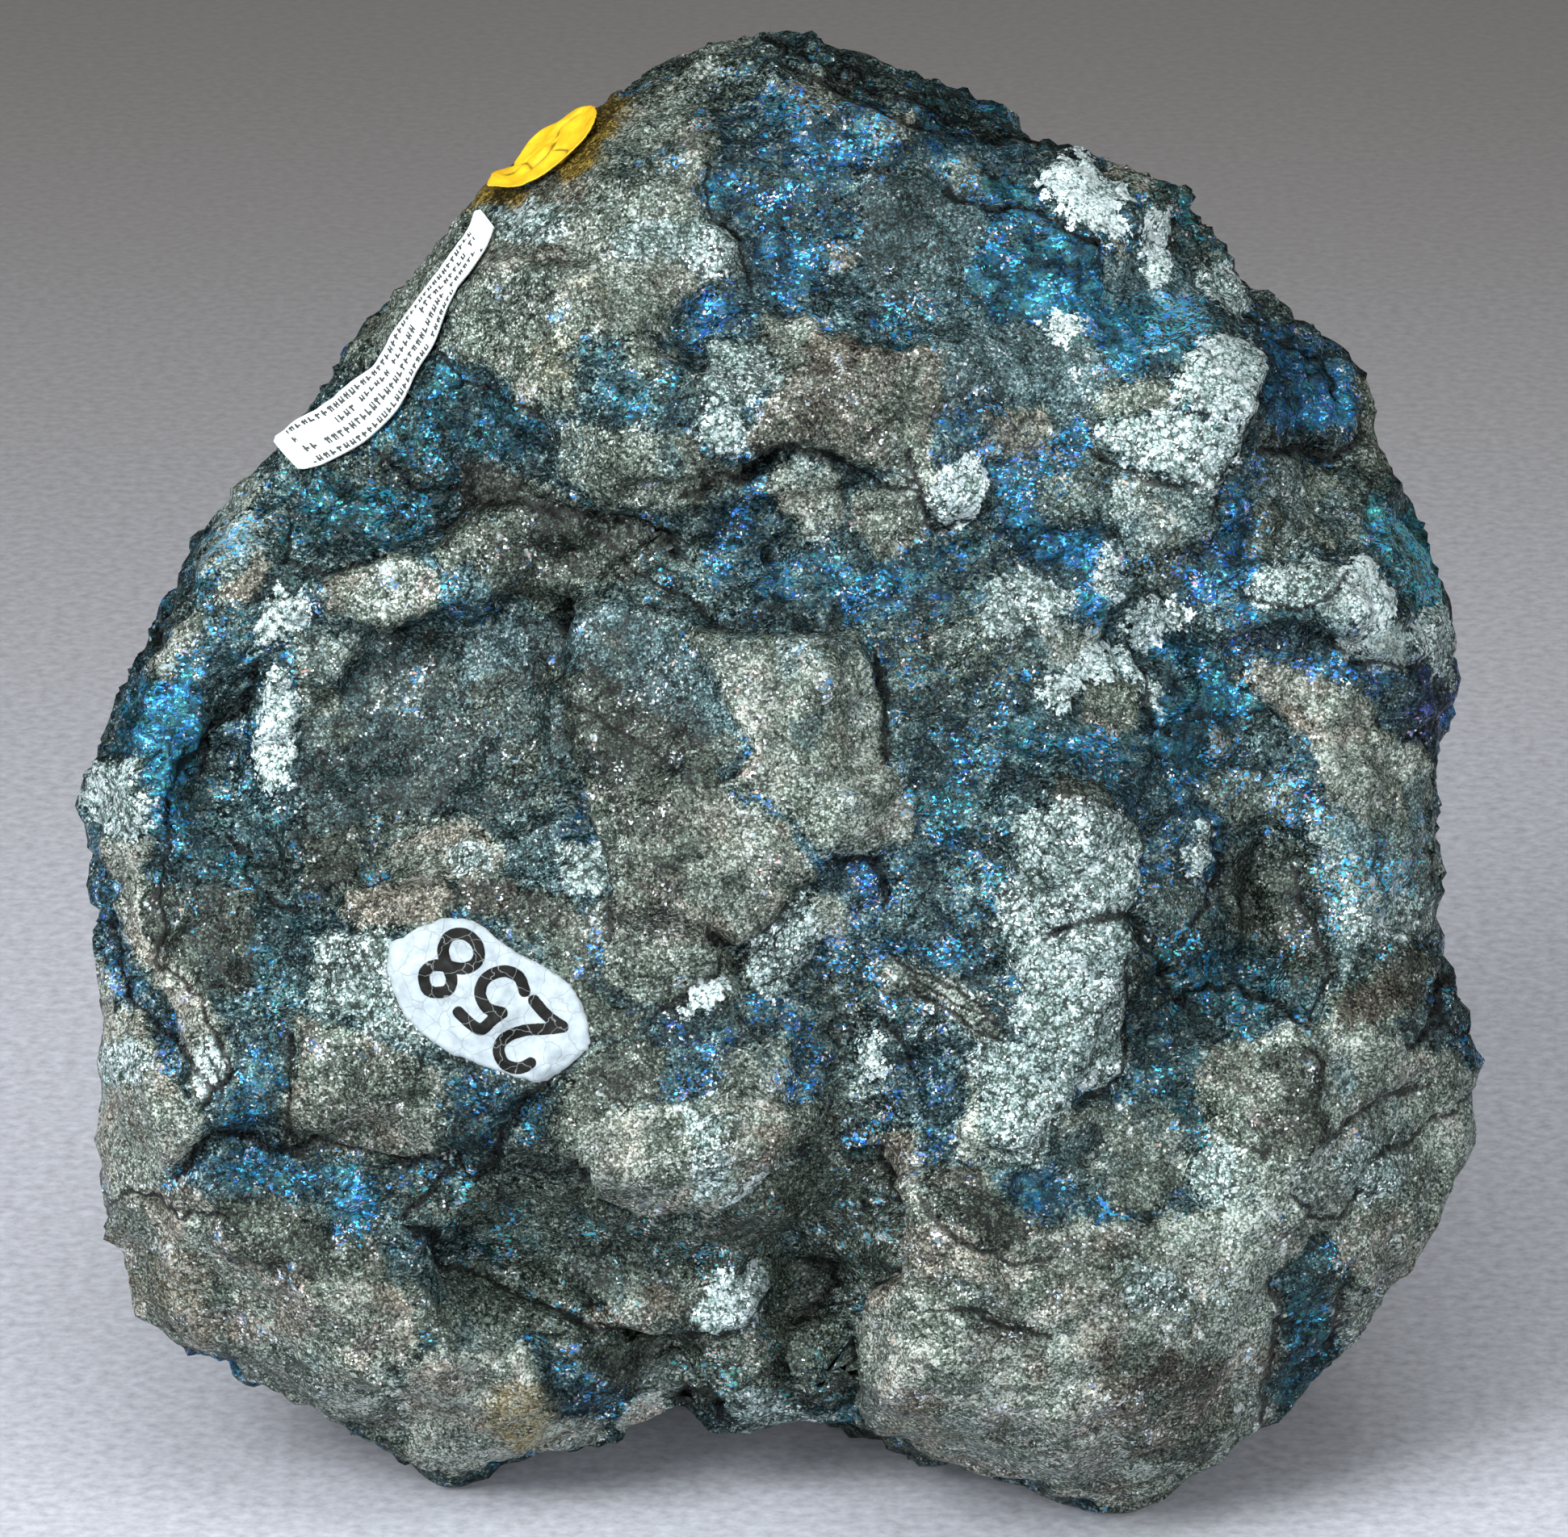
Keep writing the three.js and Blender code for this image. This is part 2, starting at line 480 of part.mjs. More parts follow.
// A thin label pressed on the stone. Rings of points run from its middle out to its outline, and
// each point goes straight down onto the stone, along the way the label faces.
function makeLabelGeometry(ore, { aim, facing, along, length, bow, rings }, outline) {
  const up = new THREE.Vector3(...facing).normalize();
  const right = new THREE.Vector3(...along).normalize();
  const across = new THREE.Vector3().crossVectors(up, right).normalize();
  const caster = new THREE.Raycaster();
  const above = (a, b) => {
    const bowed = b + bow * (1 - ((2 * a) / length) ** 2);
    return new THREE.Vector3(...aim).addScaledVector(right, a).addScaledVector(across, bowed);
  };
  const heightOf = (a, b) => {
    caster.set(above(a, b).addScaledVector(up, LABEL_HEADROOM), up.clone().negate());
    return LABEL_HEADROOM - caster.intersectObject(ore)[0].distance;
  };
  const seatOf = (a, b) => {
    const heights = LABEL_FEELERS.map(([da, db]) => heightOf(a + da, b + db));
    return above(a, b).addScaledVector(up, Math.max(...heights));
  };
  const seats = [seatOf(0, 0)];
  for (let ring = 1; ring <= rings; ring += 1) {
    outline.forEach(([a, b]) => seats.push(seatOf((a * ring) / rings, (b * ring) / rings)));
  }
  const under = seats.map((seat) => seat.clone().addScaledVector(up, LABEL_GAP));
  const over = seats.map((seat) => seat.clone().addScaledVector(up, LABEL_GAP + LABEL_THICKNESS));
  const vertices = [...under, ...over].flatMap((vertex) => vertex.toArray());
  const count = outline.length;
  const faces = [];
  const addFace = (a, b, c) => {
    faces.push(a + seats.length, b + seats.length, c + seats.length);
    faces.push(a, c, b);
  };
  for (let i = 0; i < count; i += 1) {
    const next = (i + 1) % count;
    addFace(0, 1 + i, 1 + next);
    for (let ring = 0; ring < rings - 1; ring += 1) {
      const inner = 1 + ring * count;
      const outer = inner + count;
      addFace(inner + i, outer + i, outer + next);
      addFace(inner + i, outer + next, inner + next);
    }
    const edge = 1 + (rings - 1) * count;
    faces.push(edge + i, edge + next, edge + next + seats.length);
    faces.push(edge + i, edge + next + seats.length, edge + i + seats.length);
  }
  const geometry = new THREE.BufferGeometry();
  geometry.setAttribute("position", new THREE.Float32BufferAttribute(vertices, 3));
  geometry.setIndex(faces);
  geometry.computeVertexNormals();
  return geometry;
}

function ovalOutline({ length, width, points }) {
  return Array.from({ length: points }, (_, i) => {
    const angle = (i / points) * 2 * Math.PI;
    return [(length / 2) * Math.cos(angle), (width / 2) * Math.sin(angle)];
  });
}

// A strip's outline: stations along each long side, and a point in the middle of each end.
function stripOutline({ length, width, stations }) {
  const side = (sign) => Array.from({ length: stations }, (_, i) => [
    sign * lerp(-length / 2, length / 2, i / (stations - 1)),
    (sign * -width) / 2,
  ]);
  return [...side(1), [length / 2, 0], ...side(-1), [-length / 2, 0]];
}

const stone = new THREE.Group();
const ore = new THREE.Mesh(makeOreGeometry(), new THREE.MeshStandardMaterial(ORE));
ore.name = "ore";
stone.add(ore);

const labels = [
  ["number_label", NUMBER_LABEL, [...NUMBER_LABEL.outline].reverse(), LABEL_WHITE],
  ["strip_label", STRIP_LABEL, stripOutline(STRIP_LABEL), LABEL_WHITE],
  ["yellow_label", YELLOW_LABEL, ovalOutline(YELLOW_LABEL), LABEL_YELLOW],
];
for (const [name, place, outline, finish] of labels) {
  const geometry = makeLabelGeometry(ore, place, outline);
  const label = new THREE.Mesh(geometry, new THREE.MeshStandardMaterial(finish));
  label.name = name;
  stone.add(label);
}

// Stands the stone on its flats, with the middle of its footprint box over the origin.
stone.rotation.x = Math.PI / 2 - FACE_LEAN;
stone.updateMatrixWorld(true);
const extent = new THREE.Box3().setFromObject(ore, true);
const middle = extent.getCenter(new THREE.Vector3());
stone.position.set(-middle.x, -middle.y, -extent.min.z);

const part = new THREE.Group();
part.add(stone);

export default part;
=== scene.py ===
"""Peacock ore specimen: the looks of a granular copper sulphide stone and its three labels.

The stone is worked in the frame of its broad face: u runs to the right, v up the face and w out of
it, in millimetres. The whole leans back from upright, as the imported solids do.
"""

import math

import bmesh
import bpy
import numpy as np
from mathutils import Matrix, Vector
from mathutils.bvhtree import BVHTree


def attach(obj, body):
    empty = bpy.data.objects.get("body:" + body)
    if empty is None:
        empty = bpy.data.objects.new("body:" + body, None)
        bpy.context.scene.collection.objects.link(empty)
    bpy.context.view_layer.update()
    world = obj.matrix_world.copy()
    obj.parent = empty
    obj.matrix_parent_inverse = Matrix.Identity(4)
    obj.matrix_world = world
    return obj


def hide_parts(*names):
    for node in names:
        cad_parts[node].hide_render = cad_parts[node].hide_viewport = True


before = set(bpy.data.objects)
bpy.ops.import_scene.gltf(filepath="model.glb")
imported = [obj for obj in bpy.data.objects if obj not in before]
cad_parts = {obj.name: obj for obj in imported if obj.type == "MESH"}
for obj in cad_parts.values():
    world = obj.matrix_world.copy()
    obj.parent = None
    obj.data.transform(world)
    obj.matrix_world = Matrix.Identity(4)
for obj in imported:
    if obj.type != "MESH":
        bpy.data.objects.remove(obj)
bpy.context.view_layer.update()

MM = 0.001  # in metres
FACE_LEAN = math.radians(20)
FACE_CENTRE = (0.0, -1.83, 43.6)  # middle of the broad face in the shared frame, mm
FACE_AXES = Matrix((
    (1, 0, 0),
    (0, math.sin(FACE_LEAN), -math.cos(FACE_LEAN)),
    (0, math.cos(FACE_LEAN), math.sin(FACE_LEAN)),
))  # its columns are u, v and w in the shared frame

# Where each finish shows on the broad face. Outlines and paths are rows of corners in mm, u and v in
# turn. A patch's own values stand before its outline, and a later patch lies over an earlier one.

# Silver patches, each with how brightly it shines.
SILVER_PATCHES = {
    "upper_right_crown": (1.3, [
        15.8, 36, 16.5, 36.8, 17.5, 37.3, 19.5, 37.5, 20.5, 36.5, 21.6, 35.8, 21.8, 34.8, 21, 33.8,
        21.5, 32.3, 20.3, 32, 18.5, 32.8, 17.3, 33.5, 16.3, 34.8,
    ]),
    "upper_right_drop": (1, [
        22.5, 33, 23.5, 33.9, 24.4, 33.7, 24.6, 31.8, 24.8, 29.8, 23.5, 29.3, 22.3, 29.5, 22.5, 31,
    ]),
    "shoulder_edge": (0.55, [
        26.3, 31.2, 27.5, 31.4, 28.6, 30.6, 29.3, 29.5, 29.1, 28, 28.3, 27, 27.4, 27.6, 26.6, 29.2,
    ]),
    "shoulder_lower": (0.65, [
        20, 21.3, 21, 21.5, 23.5, 21, 25, 21, 28.3, 20, 27.5, 18.3, 26.8, 16.6, 24.5, 17, 22.5, 17.8,
        20.5, 18.5, 19.8, 19.8,
    ]),
    "shoulder_upper": (0.85, [
        27.3, 25.6, 28.8, 25.3, 29.5, 24, 29.3, 22.3, 28.3, 20.3, 26.8, 20.8, 25, 21.3, 24.5, 22.3,
        24.8, 24.3, 25.8, 25,
    ]),
    "white_knob": (0.95, [
        9.3, 15.3, 9.5, 17, 10.3, 18.3, 11.5, 19.1, 12.9, 18.5, 13, 17.3, 12.3, 15.8, 11.3, 14.3, 10, 14,
    ]),
    "brow_spot": (1.1, [16, 26.8, 17, 27.3, 18.3, 27.1, 18.5, 26, 18, 25.2, 16.8, 25.4]),
    "brow_left": (0.25, [-4.3, 25.3, -2, 25.5, 0, 24.5, 0.5, 23, -1, 22.5, -2, 21.5, -3.5, 22, -4.5, 23.5]),
    "brow_left_bright": (0.65, [-4.8, 21, -3.5, 22, -2.2, 21.5, -2, 19.5, -3, 18.9, -4.5, 19.4]),
    "left_high_spot": (0.9, [
        -31.2, 10.8, -30, 11.2, -28.6, 10.6, -28.3, 9, -28.6, 8, -30, 7.4, -31.8, 7.3, -32, 8.3, -31.2, 9.2,
    ]),
    "left_long_spot": (0.9, [
        -31.2, 5.6, -30.2, 6, -29.4, 5, -29.3, 3, -29.2, 0.5, -29.6, -1.2, -30.8, -1.8, -31.8, -1.2, -31.6, 1,
        -31.4, 3,
    ]),
    "left_knob": (0.65, [
        -42.8, -1.2, -42, -0.2, -40, 0, -38.8, -0.5, -38.6, -2, -38, -3.2, -38.2, -4.2, -39.6, -4.6,
        -41, -4.2, -42.6, -3.4,
    ]),
    "middle_right_a": (0.5, [12.3, 11, 14, 11.8, 16.5, 11, 18, 10, 17.5, 9, 16, 8.3, 14.5, 7.3, 12.5, 8.8]),
    "middle_right_b": (1, [
        15.8, 3.8, 16.5, 5, 18, 6.3, 19.3, 7.5, 21.3, 7.3, 22.1, 5.8, 22.3, 4.8, 20.8, 5.8, 19, 5, 17.8, 3.5,
        16.8, 3.1,
    ]),
    "middle_right_c": (0.6, [19.9, 12.6, 20.6, 13.7, 21.2, 12.4, 21.3, 10.8, 20.4, 10.2, 19.8, 11.2]),
    "middle_right_d": (0.7, [22.2, 5.2, 23, 4.9, 23.8, 3.9, 23.2, 3.5, 22.3, 4.3]),
    "pink_streak": (0.85, [
        21.2, 10.2, 22, 9.4, 24, 10.1, 25.6, 9.2, 25.2, 8.4, 23.4, 8, 22.4, 7.2, 21.4, 7.8,
    ]),
    "right_cheek": (1.05, [
        34.8, 12.6, 35.8, 12.9, 36.6, 11.6, 38, 10.8, 38.5, 9.8, 37.6, 8, 36.2, 7.9, 35, 8.8, 34.5, 10.4,
    ]),
    "right_edge_spot": (0.7, [
        39, 8.6, 40.5, 9.8, 42, 9.6, 43.1, 8, 42.8, 6, 42.2, 4.6, 41.2, 5, 40.2, 6.4, 39, 7.4,
    ]),
    "right_oval": (0.45, [29, 10.5, 30, 12, 32, 12.5, 33.6, 11.6, 34, 10.3, 32.4, 9.4, 30, 9.3]),
    "column": (0.48, [
        13.8, -10.8, 17, -10.4, 20, -9.2, 21.2, -10, 21.4, -11.8, 21.8, -14.8, 21, -18.8, 20.5, -19.8,
        18, -19.3, 17.5, -17.3, 15.5, -16.8, 14.5, -15.8, 15, -13.8,
    ]),
    "column_head": (0.5, [
        14.5, -3, 17.5, -2.8, 20.3, -2.8, 21.8, -4.5, 22, -7.8, 21, -9.5, 17, -10.2, 14.5, -10.5, 13.6, -10,
        13.5, -8.3, 14.5, -6.3,
    ]),
    "bright_step": (0.38, [
        11.8, -17.8, 13.5, -16.5, 15, -17, 17.8, -17.3, 17.8, -19.3, 17, -21.3, 16, -24, 14, -24, 12.5, -21.5,
    ]),
    "beside_number": (0.3, [
        -28, -10.5, -23.5, -10.5, -23.3, -12.3, -22.5, -14.8, -21, -16.8, -21.5, -17.5, -23.3, -16.3,
        -26, -15.8, -28, -15.3, -28.6, -13.3,
    ]),
    "lower_left_spot": (0.75, [
        -41.8, -17.5, -40, -16.8, -38.4, -17, -38.2, -18.6, -39.4, -19.8, -41.5, -19.8,
    ]),
    "ridge_white": (0.8, [-35, -16.8, -34.2, -16.6, -33.4, -18.6, -33.8, -20.2, -35, -20.4, -35.3, -18.6]),
    "lump_fleck": (0.5, [-5.5, -20.5, -3.5, -21.5, -3, -25, -4.5, -26, -5, -23]),
    "lump_fleck_low": (0.8, [-1.5, -24.2, 0, -24.6, -1, -26, -3.5, -27.5, -4, -26.8]),
    "recess_pebble": (0.8, [
        -4.9, -33, -3.6, -31.2, -1, -30.6, -0.5, -31.6, -0.7, -33.2, -2.2, -34.6, -4, -35.1, -5, -34.2,
    ]),
    "bottom_edge": (0.45, [-3.5, -40.4, -2.4, -39.3, 0, -38.8, 2, -39.8, 4, -40.6, 1.5, -41.6, -0.8, -41.7]),
    "slab_foot_spot": (1.2, [-5.8, -14.6, -4.8, -13, -3.2, -12.5, -3, -13.4, -4, -14.8, -5.3, -15.3]),
    "slab_foot_low": (0.35, [-1.9, -13, -1.2, -10.8, 0.6, -9, 2.4, -8.4, 2.6, -10.5, 1.6, -12.6, 0, -14]),
    "small_white": (0.9, [4.6, -16.4, 5.8, -15.9, 6.5, -17, 6.3, -19, 5.3, -19.5, 4.5, -18]),
    "knob_fleck": (0.5, [-19.6, -5.2, -18.4, -4.4, -17.2, -4.8, -17.4, -6.4, -18.8, -6.7, -19.6, -6.2]),
    "bowl_side": (0.4, [-13, -5.2, -12, -4.6, -10.5, -5, -10, -6.8, -11, -7.6, -12.6, -7]),
    "low_right_fleck": (0.4, [34.5, -24, 36, -23.2, 38.5, -23.6, 38.4, -25.6, 36.5, -26.8, 34.8, -26]),
    "right_low_left": (0.3, [25, -23.3, 26.6, -22.9, 28, -23.6, 28.2, -26, 26.8, -26.9, 25.2, -25.8]),
    "bubble": (0.5, [34.3, -9.2, 36, -8.8, 37.2, -10, 36.4, -11.2, 34.8, -11]),
    "right_tan_bright": (0.4, [37.5, -8, 39.4, -8.2, 39.5, -10.2, 38.2, -11, 37.4, -9.8]),
    "upper_left_band": (0.35, [-17, 33.8, -15, 34.6, -12.4, 33.6, -13, 32, -15.5, 31.6, -17, 32.4]),
    "upper_left_flecks": (0.25, [-10, 32, -8, 32.2, -4, 32.4, -2.4, 30.8, -3.6, 29.6, -6, 30.4, -9.4, 30.6]),
    "flake_light": (0.6, [25.2, -3.4, 26.2, -3.4, 26.8, -6, 25.6, -7, 24.8, -5.4]),
    "lobe_streak": (0.3, [20.5, -30.5, 22, -30.2, 25, -32.4, 24.4, -33.2, 21, -32.4]),
}

# Grey patches, each with its tone, from -1 teal through 0 cool grey to 1 tan, and its lightness,
# from about -1 to 1. Some of these lightnesses are painted light or shade, as noted at each.
GREY_PATCHES = {
    "recess": (0.1, -0.5, [
        -21, -27, -17, -25, -11.6, -26, -8.6, -28, -4, -28.2, 0, -25.4, 2.4, -24, 6.4, -25, 7, -31,
        4.4, -33.6, 4.4, -39.6, -1, -38.6, -4.6, -40.4, -9, -38.4, -14.6, -36, -15, -32,
    ]),
    "lower_left_edge": (0.55, 0.4, [
        -42.7, -15.5, -40, -15, -38.6, -16, -36.6, -19.5, -35.2, -20.6, -34.6, -21.4, -36, -24, -38, -26,
        -41, -26.6, -42.6, -23.5, -43, -20,
    ]),
    "upper_left": (0.35, -0.1, [
        -17.3, 33.5, -14.5, 36.2, -11, 38.5, -9.5, 40.6, -7.5, 42, -6, 42.5, -5, 41, -4, 39.5, -3.8, 37.3,
        -4.5, 34.8, -4, 32.8, -2.5, 31.8, -2, 30.3, -3.8, 29.3, -6.5, 27.3, -6.5, 26, -8, 25.5, -10, 25.8,
        -11.5, 26, -12.5, 24.5, -11.5, 21.3, -14.8, 21.3, -17, 23.3, -18.8, 24, -20.8, 26, -20, 27.5,
        -18.8, 29.8, -17.8, 32,
    ]),
    "ridge_top": (0.2, 0.3, [-6.5, 42.4, -4, 44.6, -1.5, 46, -0.5, 45.4, -2.8, 44, -5, 41.6]),
    "flank": (0.2, 0.15, [
        -17.6, 36, -20, 34, -22.5, 31, -25, 28.5, -27, 26, -25.6, 24.8, -22, 27, -20.4, 30, -19, 33,
        -17.2, 34,
    ]),
    "brow": (0.7, -0.25, [
        -0.5, 27.5, 2, 27.4, 4.8, 25.8, 6.5, 25, 10.5, 25.2, 10.5, 22.5, 9.3, 20.5, 9.3, 18.4, 6, 17.8,
        2, 18.6, -1.5, 18.2, -2, 20, 0.5, 22.6, -0.3, 24.6, -1.5, 25.6,
    ]),
    "brow_clast": (0.5, 0.1, [-0.5, 27.5, 2, 27.3, 4, 25.5, 4.5, 24.3, 2, 24, 0, 25]),
    "brow_right": (-0.9, -0.4, [10.5, 26, 14.5, 26.8, 19.5, 26, 20, 23.5, 19.5, 22, 15, 22.2, 10.5, 22.5]),
    "brow_low_right": (0.85, -0.35, [12.4, 21.2, 16.6, 21.6, 17, 18.2, 13.2, 18.8]),
    "brow_left_low": (0.1, -0.2, [
        -12.5, 20.8, -8, 20, -5, 20, -4.8, 18.8, -2.8, 18.4, -1.5, 18, -1.5, 17, -6, 15.6, -10, 15.6,
        -13, 17.2, -13.5, 19,
    ]),
    "mid_clast": (0.3, 0.05, [-9, 25.2, -7.6, 25.6, -6.2, 24.8, -6.2, 23.4, -7.6, 23, -8.8, 23.8]),
    "brown_wedge": (0.3, -0.8, [
        -19.5, 18, -16, 17.4, -12.8, 16.2, -9.5, 14.6, -6, 13.2, -8, 11.6, -12, 10.4, -13.4, 9, -17, 10,
        -18.8, 12, -17, 14.6, -19.8, 15.8,
    ]),
    "hollow_edge": (0.2, -0.3, [-20.6, 15.4, -18.5, 15.8, -17, 14.2, -18.6, 12, -20.4, 12]),
    "hollow_lip": (0.3, 0.05, [
        -27.5, 11, -26, 12, -23.5, 13, -21.5, 12.5, -20.3, 11, -21, 9.5, -24, 8.6, -27, 9.5,
    ]),
    "left_streak": (0.9, 0.1, [
        -34, 10.4, -33, 11.6, -31.6, 12.8, -30.6, 12.6, -31.2, 11.2, -32, 10, -33.6, 9.8,
    ]),
    "left_edge_streak": (0.5, 0.2, [
        -38.2, 6.4, -36.6, 8.8, -35.6, 9.4, -35.1, 8.6, -35.8, 6.8, -36.8, 5.4, -37.8, 5.4,
    ]),
    "bowl": (-0.6, -1, [
        -29, 8, -25, 8.6, -20, 8.4, -13.2, 9, -13.4, 4.6, -12.8, 2, -12.4, -1.4, -13, -4.4, -16.6, -3,
        -20, -2.6, -24, -3.4, -28, -5, -29, -2, -29, 3,
    ]),
    "bowl_left": (-0.3, -0.3, [-29.4, 8.2, -25, 8.6, -24, 4, -25, 1, -28.8, 1]),
    "slab_left": (-0.6, -0.5, [
        -12.5, 9.4, -9, 9.6, -5.2, 7.8, -4.4, 5.6, -3, 3, -2, 1, -4, -0.6, -8, -1, -12, -1.4, -12.6, 2,
        -13.2, 5,
    ]),
    "slab_streak": (0.2, -0.95, [
        -12.8, 5.2, -10.5, 5.4, -7.5, 3.4, -4.5, 1.6, -3.2, -0.8, -5.4, -1.8, -10, -1.2, -12.4, 1.2,
    ]),
    "slab_top": (0.3, 0.2, [
        -4.8, 7.4, -1.5, 7.3, 2, 7.3, 4.6, 7, 5.8, 5.6, 6.6, 3.4, 6.8, 1, 6.2, 0, 8.4, -2.6, 8.2, -5,
        5.2, -5.6, 2, -4.2, 0, -3, -3, -1, -1.5, 1, -3, 4, -4, 6,
    ]),
    "slab_foot": (0.5, -0.05, [
        -10.4, -1, -8.5, -1, -5.5, -1, -3, -2, 0.5, -3.6, 2.2, -6, 1.2, -8.4, 0, -10.2, -1.5, -11.4,
        -3, -10.8, -3.4, -12, -5.8, -14.4, -8, -14.2, -10, -13, -10.3, -9, -10.2, -6, -11.2, -3,
    ]),
    "slab_rim": (0.1, -0.3, [-4.6, 8, 5.4, 8, 5.2, 6, 0, 6.2, -4.4, 6]),
    "slab_shade": (0.5, -0.6, [-10.6, -1, -6, -1.6, -5, -4, -9.6, -4]),
    "upper_left_dark": (0, -0.5, [-10, 37.4, -6, 37.6, -5.4, 35, -9, 35]),
    "ledge_grey": (0.1, -0.3, [26, -1, 29, -0.6, 31.6, -1, 31.6, -4, 28, -3.6, 26.4, -2.6]),
    "azure_ridge": (-1, -0.1, [22.6, 31, 25.8, 30.6, 27, 27, 25.4, 24.6, 22.8, 25]),
    "step_side": (-0.3, 0.5, [16.4, 8.6, 19.8, 8.4, 20, 5.4, 16.6, 5.2]),
    "bowl_rim_light": (-0.6, 0, [-19, 8.6, -15.6, 8.8, -15.4, 5.6, -18.8, 5.2]),
    "strip_foot": (-0.2, 0.5, [-35.4, 18, -32, 18.4, -31.6, 15, -35.2, 14.8]),
    "brow_seam_light": (0.1, 0.4, [6.6, 18.2, 10, 18.4, 10.2, 15, 6.8, 14.8]),
    "number_shade": (0.1, -1.1, [-28.6, -4.2, -25.2, -4.4, -25.2, -7.6, -28.6, -7.6]),
    # Painted shade: darkened at the foot of the step.
    "step_foot": (0.2, -1, [16.4, -1, 19.8, -1.2, 19.8, -4.4, 16.6, -4.4]),
    # Painted shade: darkened below the left rim.
    "rim_low_painted_shade": (0, -1.15, [-38.6, -7.6, -32, -7.6, -31.8, -13.8, -35, -14, -38.4, -10.8]),
    "foot_spot": (0.7, -0.7, [-9.3, -6, -8, -5.2, -6, -5.8, -5.6, -7.4, -7, -8.3, -9, -7.8]),
    "foot_light": (0.3, 0.3, [-6.4, -10.8, -2.8, -10.8, -2.6, -14, -6, -14.2]),
    "below_slab": (0.3, 0.3, [
        -1.8, -13.6, 1.6, -11.8, 4.6, -10.4, 4.4, -8.2, 2.4, -8.2, 0.6, -9.4, -1, -11, -2, -12.6,
    ]),
    "bowl_knob": (0.6, 0.3, [
        -23.5, -5, -21, -3.8, -18.5, -3.2, -16.6, -4.6, -16.4, -6.6, -18, -7.4, -20, -7.2, -23, -6.8,
    ]),
    "knob_tan": (0.95, 0.05, [
        -26.2, -7.6, -23.4, -6.8, -20, -7.2, -19.4, -9, -21.8, -10, -25, -10.4, -26.4, -9,
    ]),
    "knob_brown": (0.9, -0.9, [-19.4, -7.4, -16, -7.2, -13.6, -8.4, -14.4, -9.6, -16.6, -9.4, -19, -9]),
    "label_right": (0.3, -0.4, [
        -13.6, -9.6, -10.4, -8.6, -10, -10.4, -11.6, -12.6, -10, -14.6, -7.6, -15.4, -8.6, -16.6, -11, -17.2,
        -11.8, -15, -13, -12,
    ]),
    "below_number": (0.6, -0.08, [
        -29, -16, -24, -16.5, -21.5, -18, -20, -18.5, -19.5, -20.5, -20.5, -22, -20, -24, -24, -23.8,
        -27, -23.4, -30, -23.5, -29.5, -20,
    ]),
    "below_number_dark": (0.3, -0.6, [-26, -17, -21.5, -17.8, -20.4, -20, -23, -21, -26, -19.6]),
    "rim_top": (-0.3, 0.6, [-36, 12, -34, 15, -31.4, 15.4, -31, 13, -33.6, 11.6]),
    "left_ridge_high": (0.6, 0.3, [
        -41, -4.5, -38, -4.6, -38.5, -6.5, -38.5, -9, -38, -10.5, -39.5, -11, -40.5, -8.5, -41.2, -6,
    ]),
    "left_ridge": (0.7, 0.5, [
        -39.4, -9.6, -37.6, -11.6, -35.5, -13, -34.2, -15.8, -33.2, -18.6, -34, -20.4, -35.4, -20.6,
        -36.2, -17.2, -37.2, -14.8, -38.9, -12.4,
    ]),
    "edge_strip": (0.4, 0.3, [-42.2, -11.4, -40.8, -11.8, -40.4, -15, -42.8, -15.4]),
    "lower_left_lobe": (0.7, 0.2, [
        -42.8, -24, -41, -26.6, -38, -26, -35.6, -25.6, -33, -28.6, -28.6, -29.4, -25, -31, -23, -31.4,
        -22.4, -33.4, -21.6, -35.4, -22.6, -37.2, -26, -37, -27, -40, -31, -39.4, -34, -36, -38.6, -36.8,
        -41, -31.5,
    ]),
    "lobe_brow": (0.35, -0.7, [
        -34, -26.6, -30, -27, -27.6, -28.8, -24, -29.2, -24, -31.4, -28.6, -32, -33, -30.6,
    ]),
    "glass": (-0.1, -0.75, [
        27.6, -5.4, 29.6, -4.4, 32, -5, 33.4, -8, 33.8, -12.6, 32.4, -13.6, 30.4, -11.4, 28.2, -10,
        27.4, -7.6,
    ]),
    "lobe_foot_left": (0.35, 0.25, [
        -34, -35.4, -30, -34.6, -26.4, -36, -24, -38, -26, -41.4, -29.5, -40, -33, -38,
    ]),
    "round_lump": (0.2, 0.2, [
        -26.5, -39, -25.4, -37.3, -23.4, -37, -22.4, -39, -22.6, -41.4, -24, -42.4, -26, -41.2,
    ]),
    "left_foot": (0.6, 0.6, [
        -22.4, -37.2, -20, -35.4, -16.5, -35.6, -15, -37, -14.6, -39.8, -11, -40.6, -9.8, -42.4, -11.4, -43.2,
        -15.5, -43.6, -18.6, -45.2, -21.6, -45.2, -23.4, -42.4,
    ]),
    "blue_grey_low": (0, -0.3, [-23, -31.2, -18, -30.2, -15.4, -32, -14.8, -35.4, -19, -36, -22, -34.6]),
    "foot_clast": (0.4, 1.1, [-10, -41, -8.6, -39.4, -6.6, -38.8, -6.2, -40.4, -8, -42.2, -9.6, -42.8]),
    "recess_chip": (0.85, -0.2, [
        -12, -33.4, -10, -32.6, -7, -32, -5.2, -32.8, -5.2, -34.6, -7.4, -35.3, -10.6, -34.6,
    ]),
    "middle_lump": (0.5, 0.35, [
        -4.5, -19.8, -2.5, -18.8, -1, -19.8, 1, -21.3, 2.3, -22.8, 2, -23.5, 0, -25, -1, -26, -4, -28,
        -6, -27.3, -8.8, -27.8, -10, -26.8, -11.5, -25.8, -13.5, -24.3, -13.8, -23.8, -11.5, -22, -8.8, -21,
        -6.3, -20.5,
    ]),
    "lump_shoulder": (0.35, -0.6, [
        -12.5, -19, -11, -17.5, -8, -16.5, -6.5, -17.5, -6.5, -20, -9, -21, -11.5, -22, -13.5, -23.5,
        -14, -22,
    ]),
    "slab_side": (0.1, 0, [
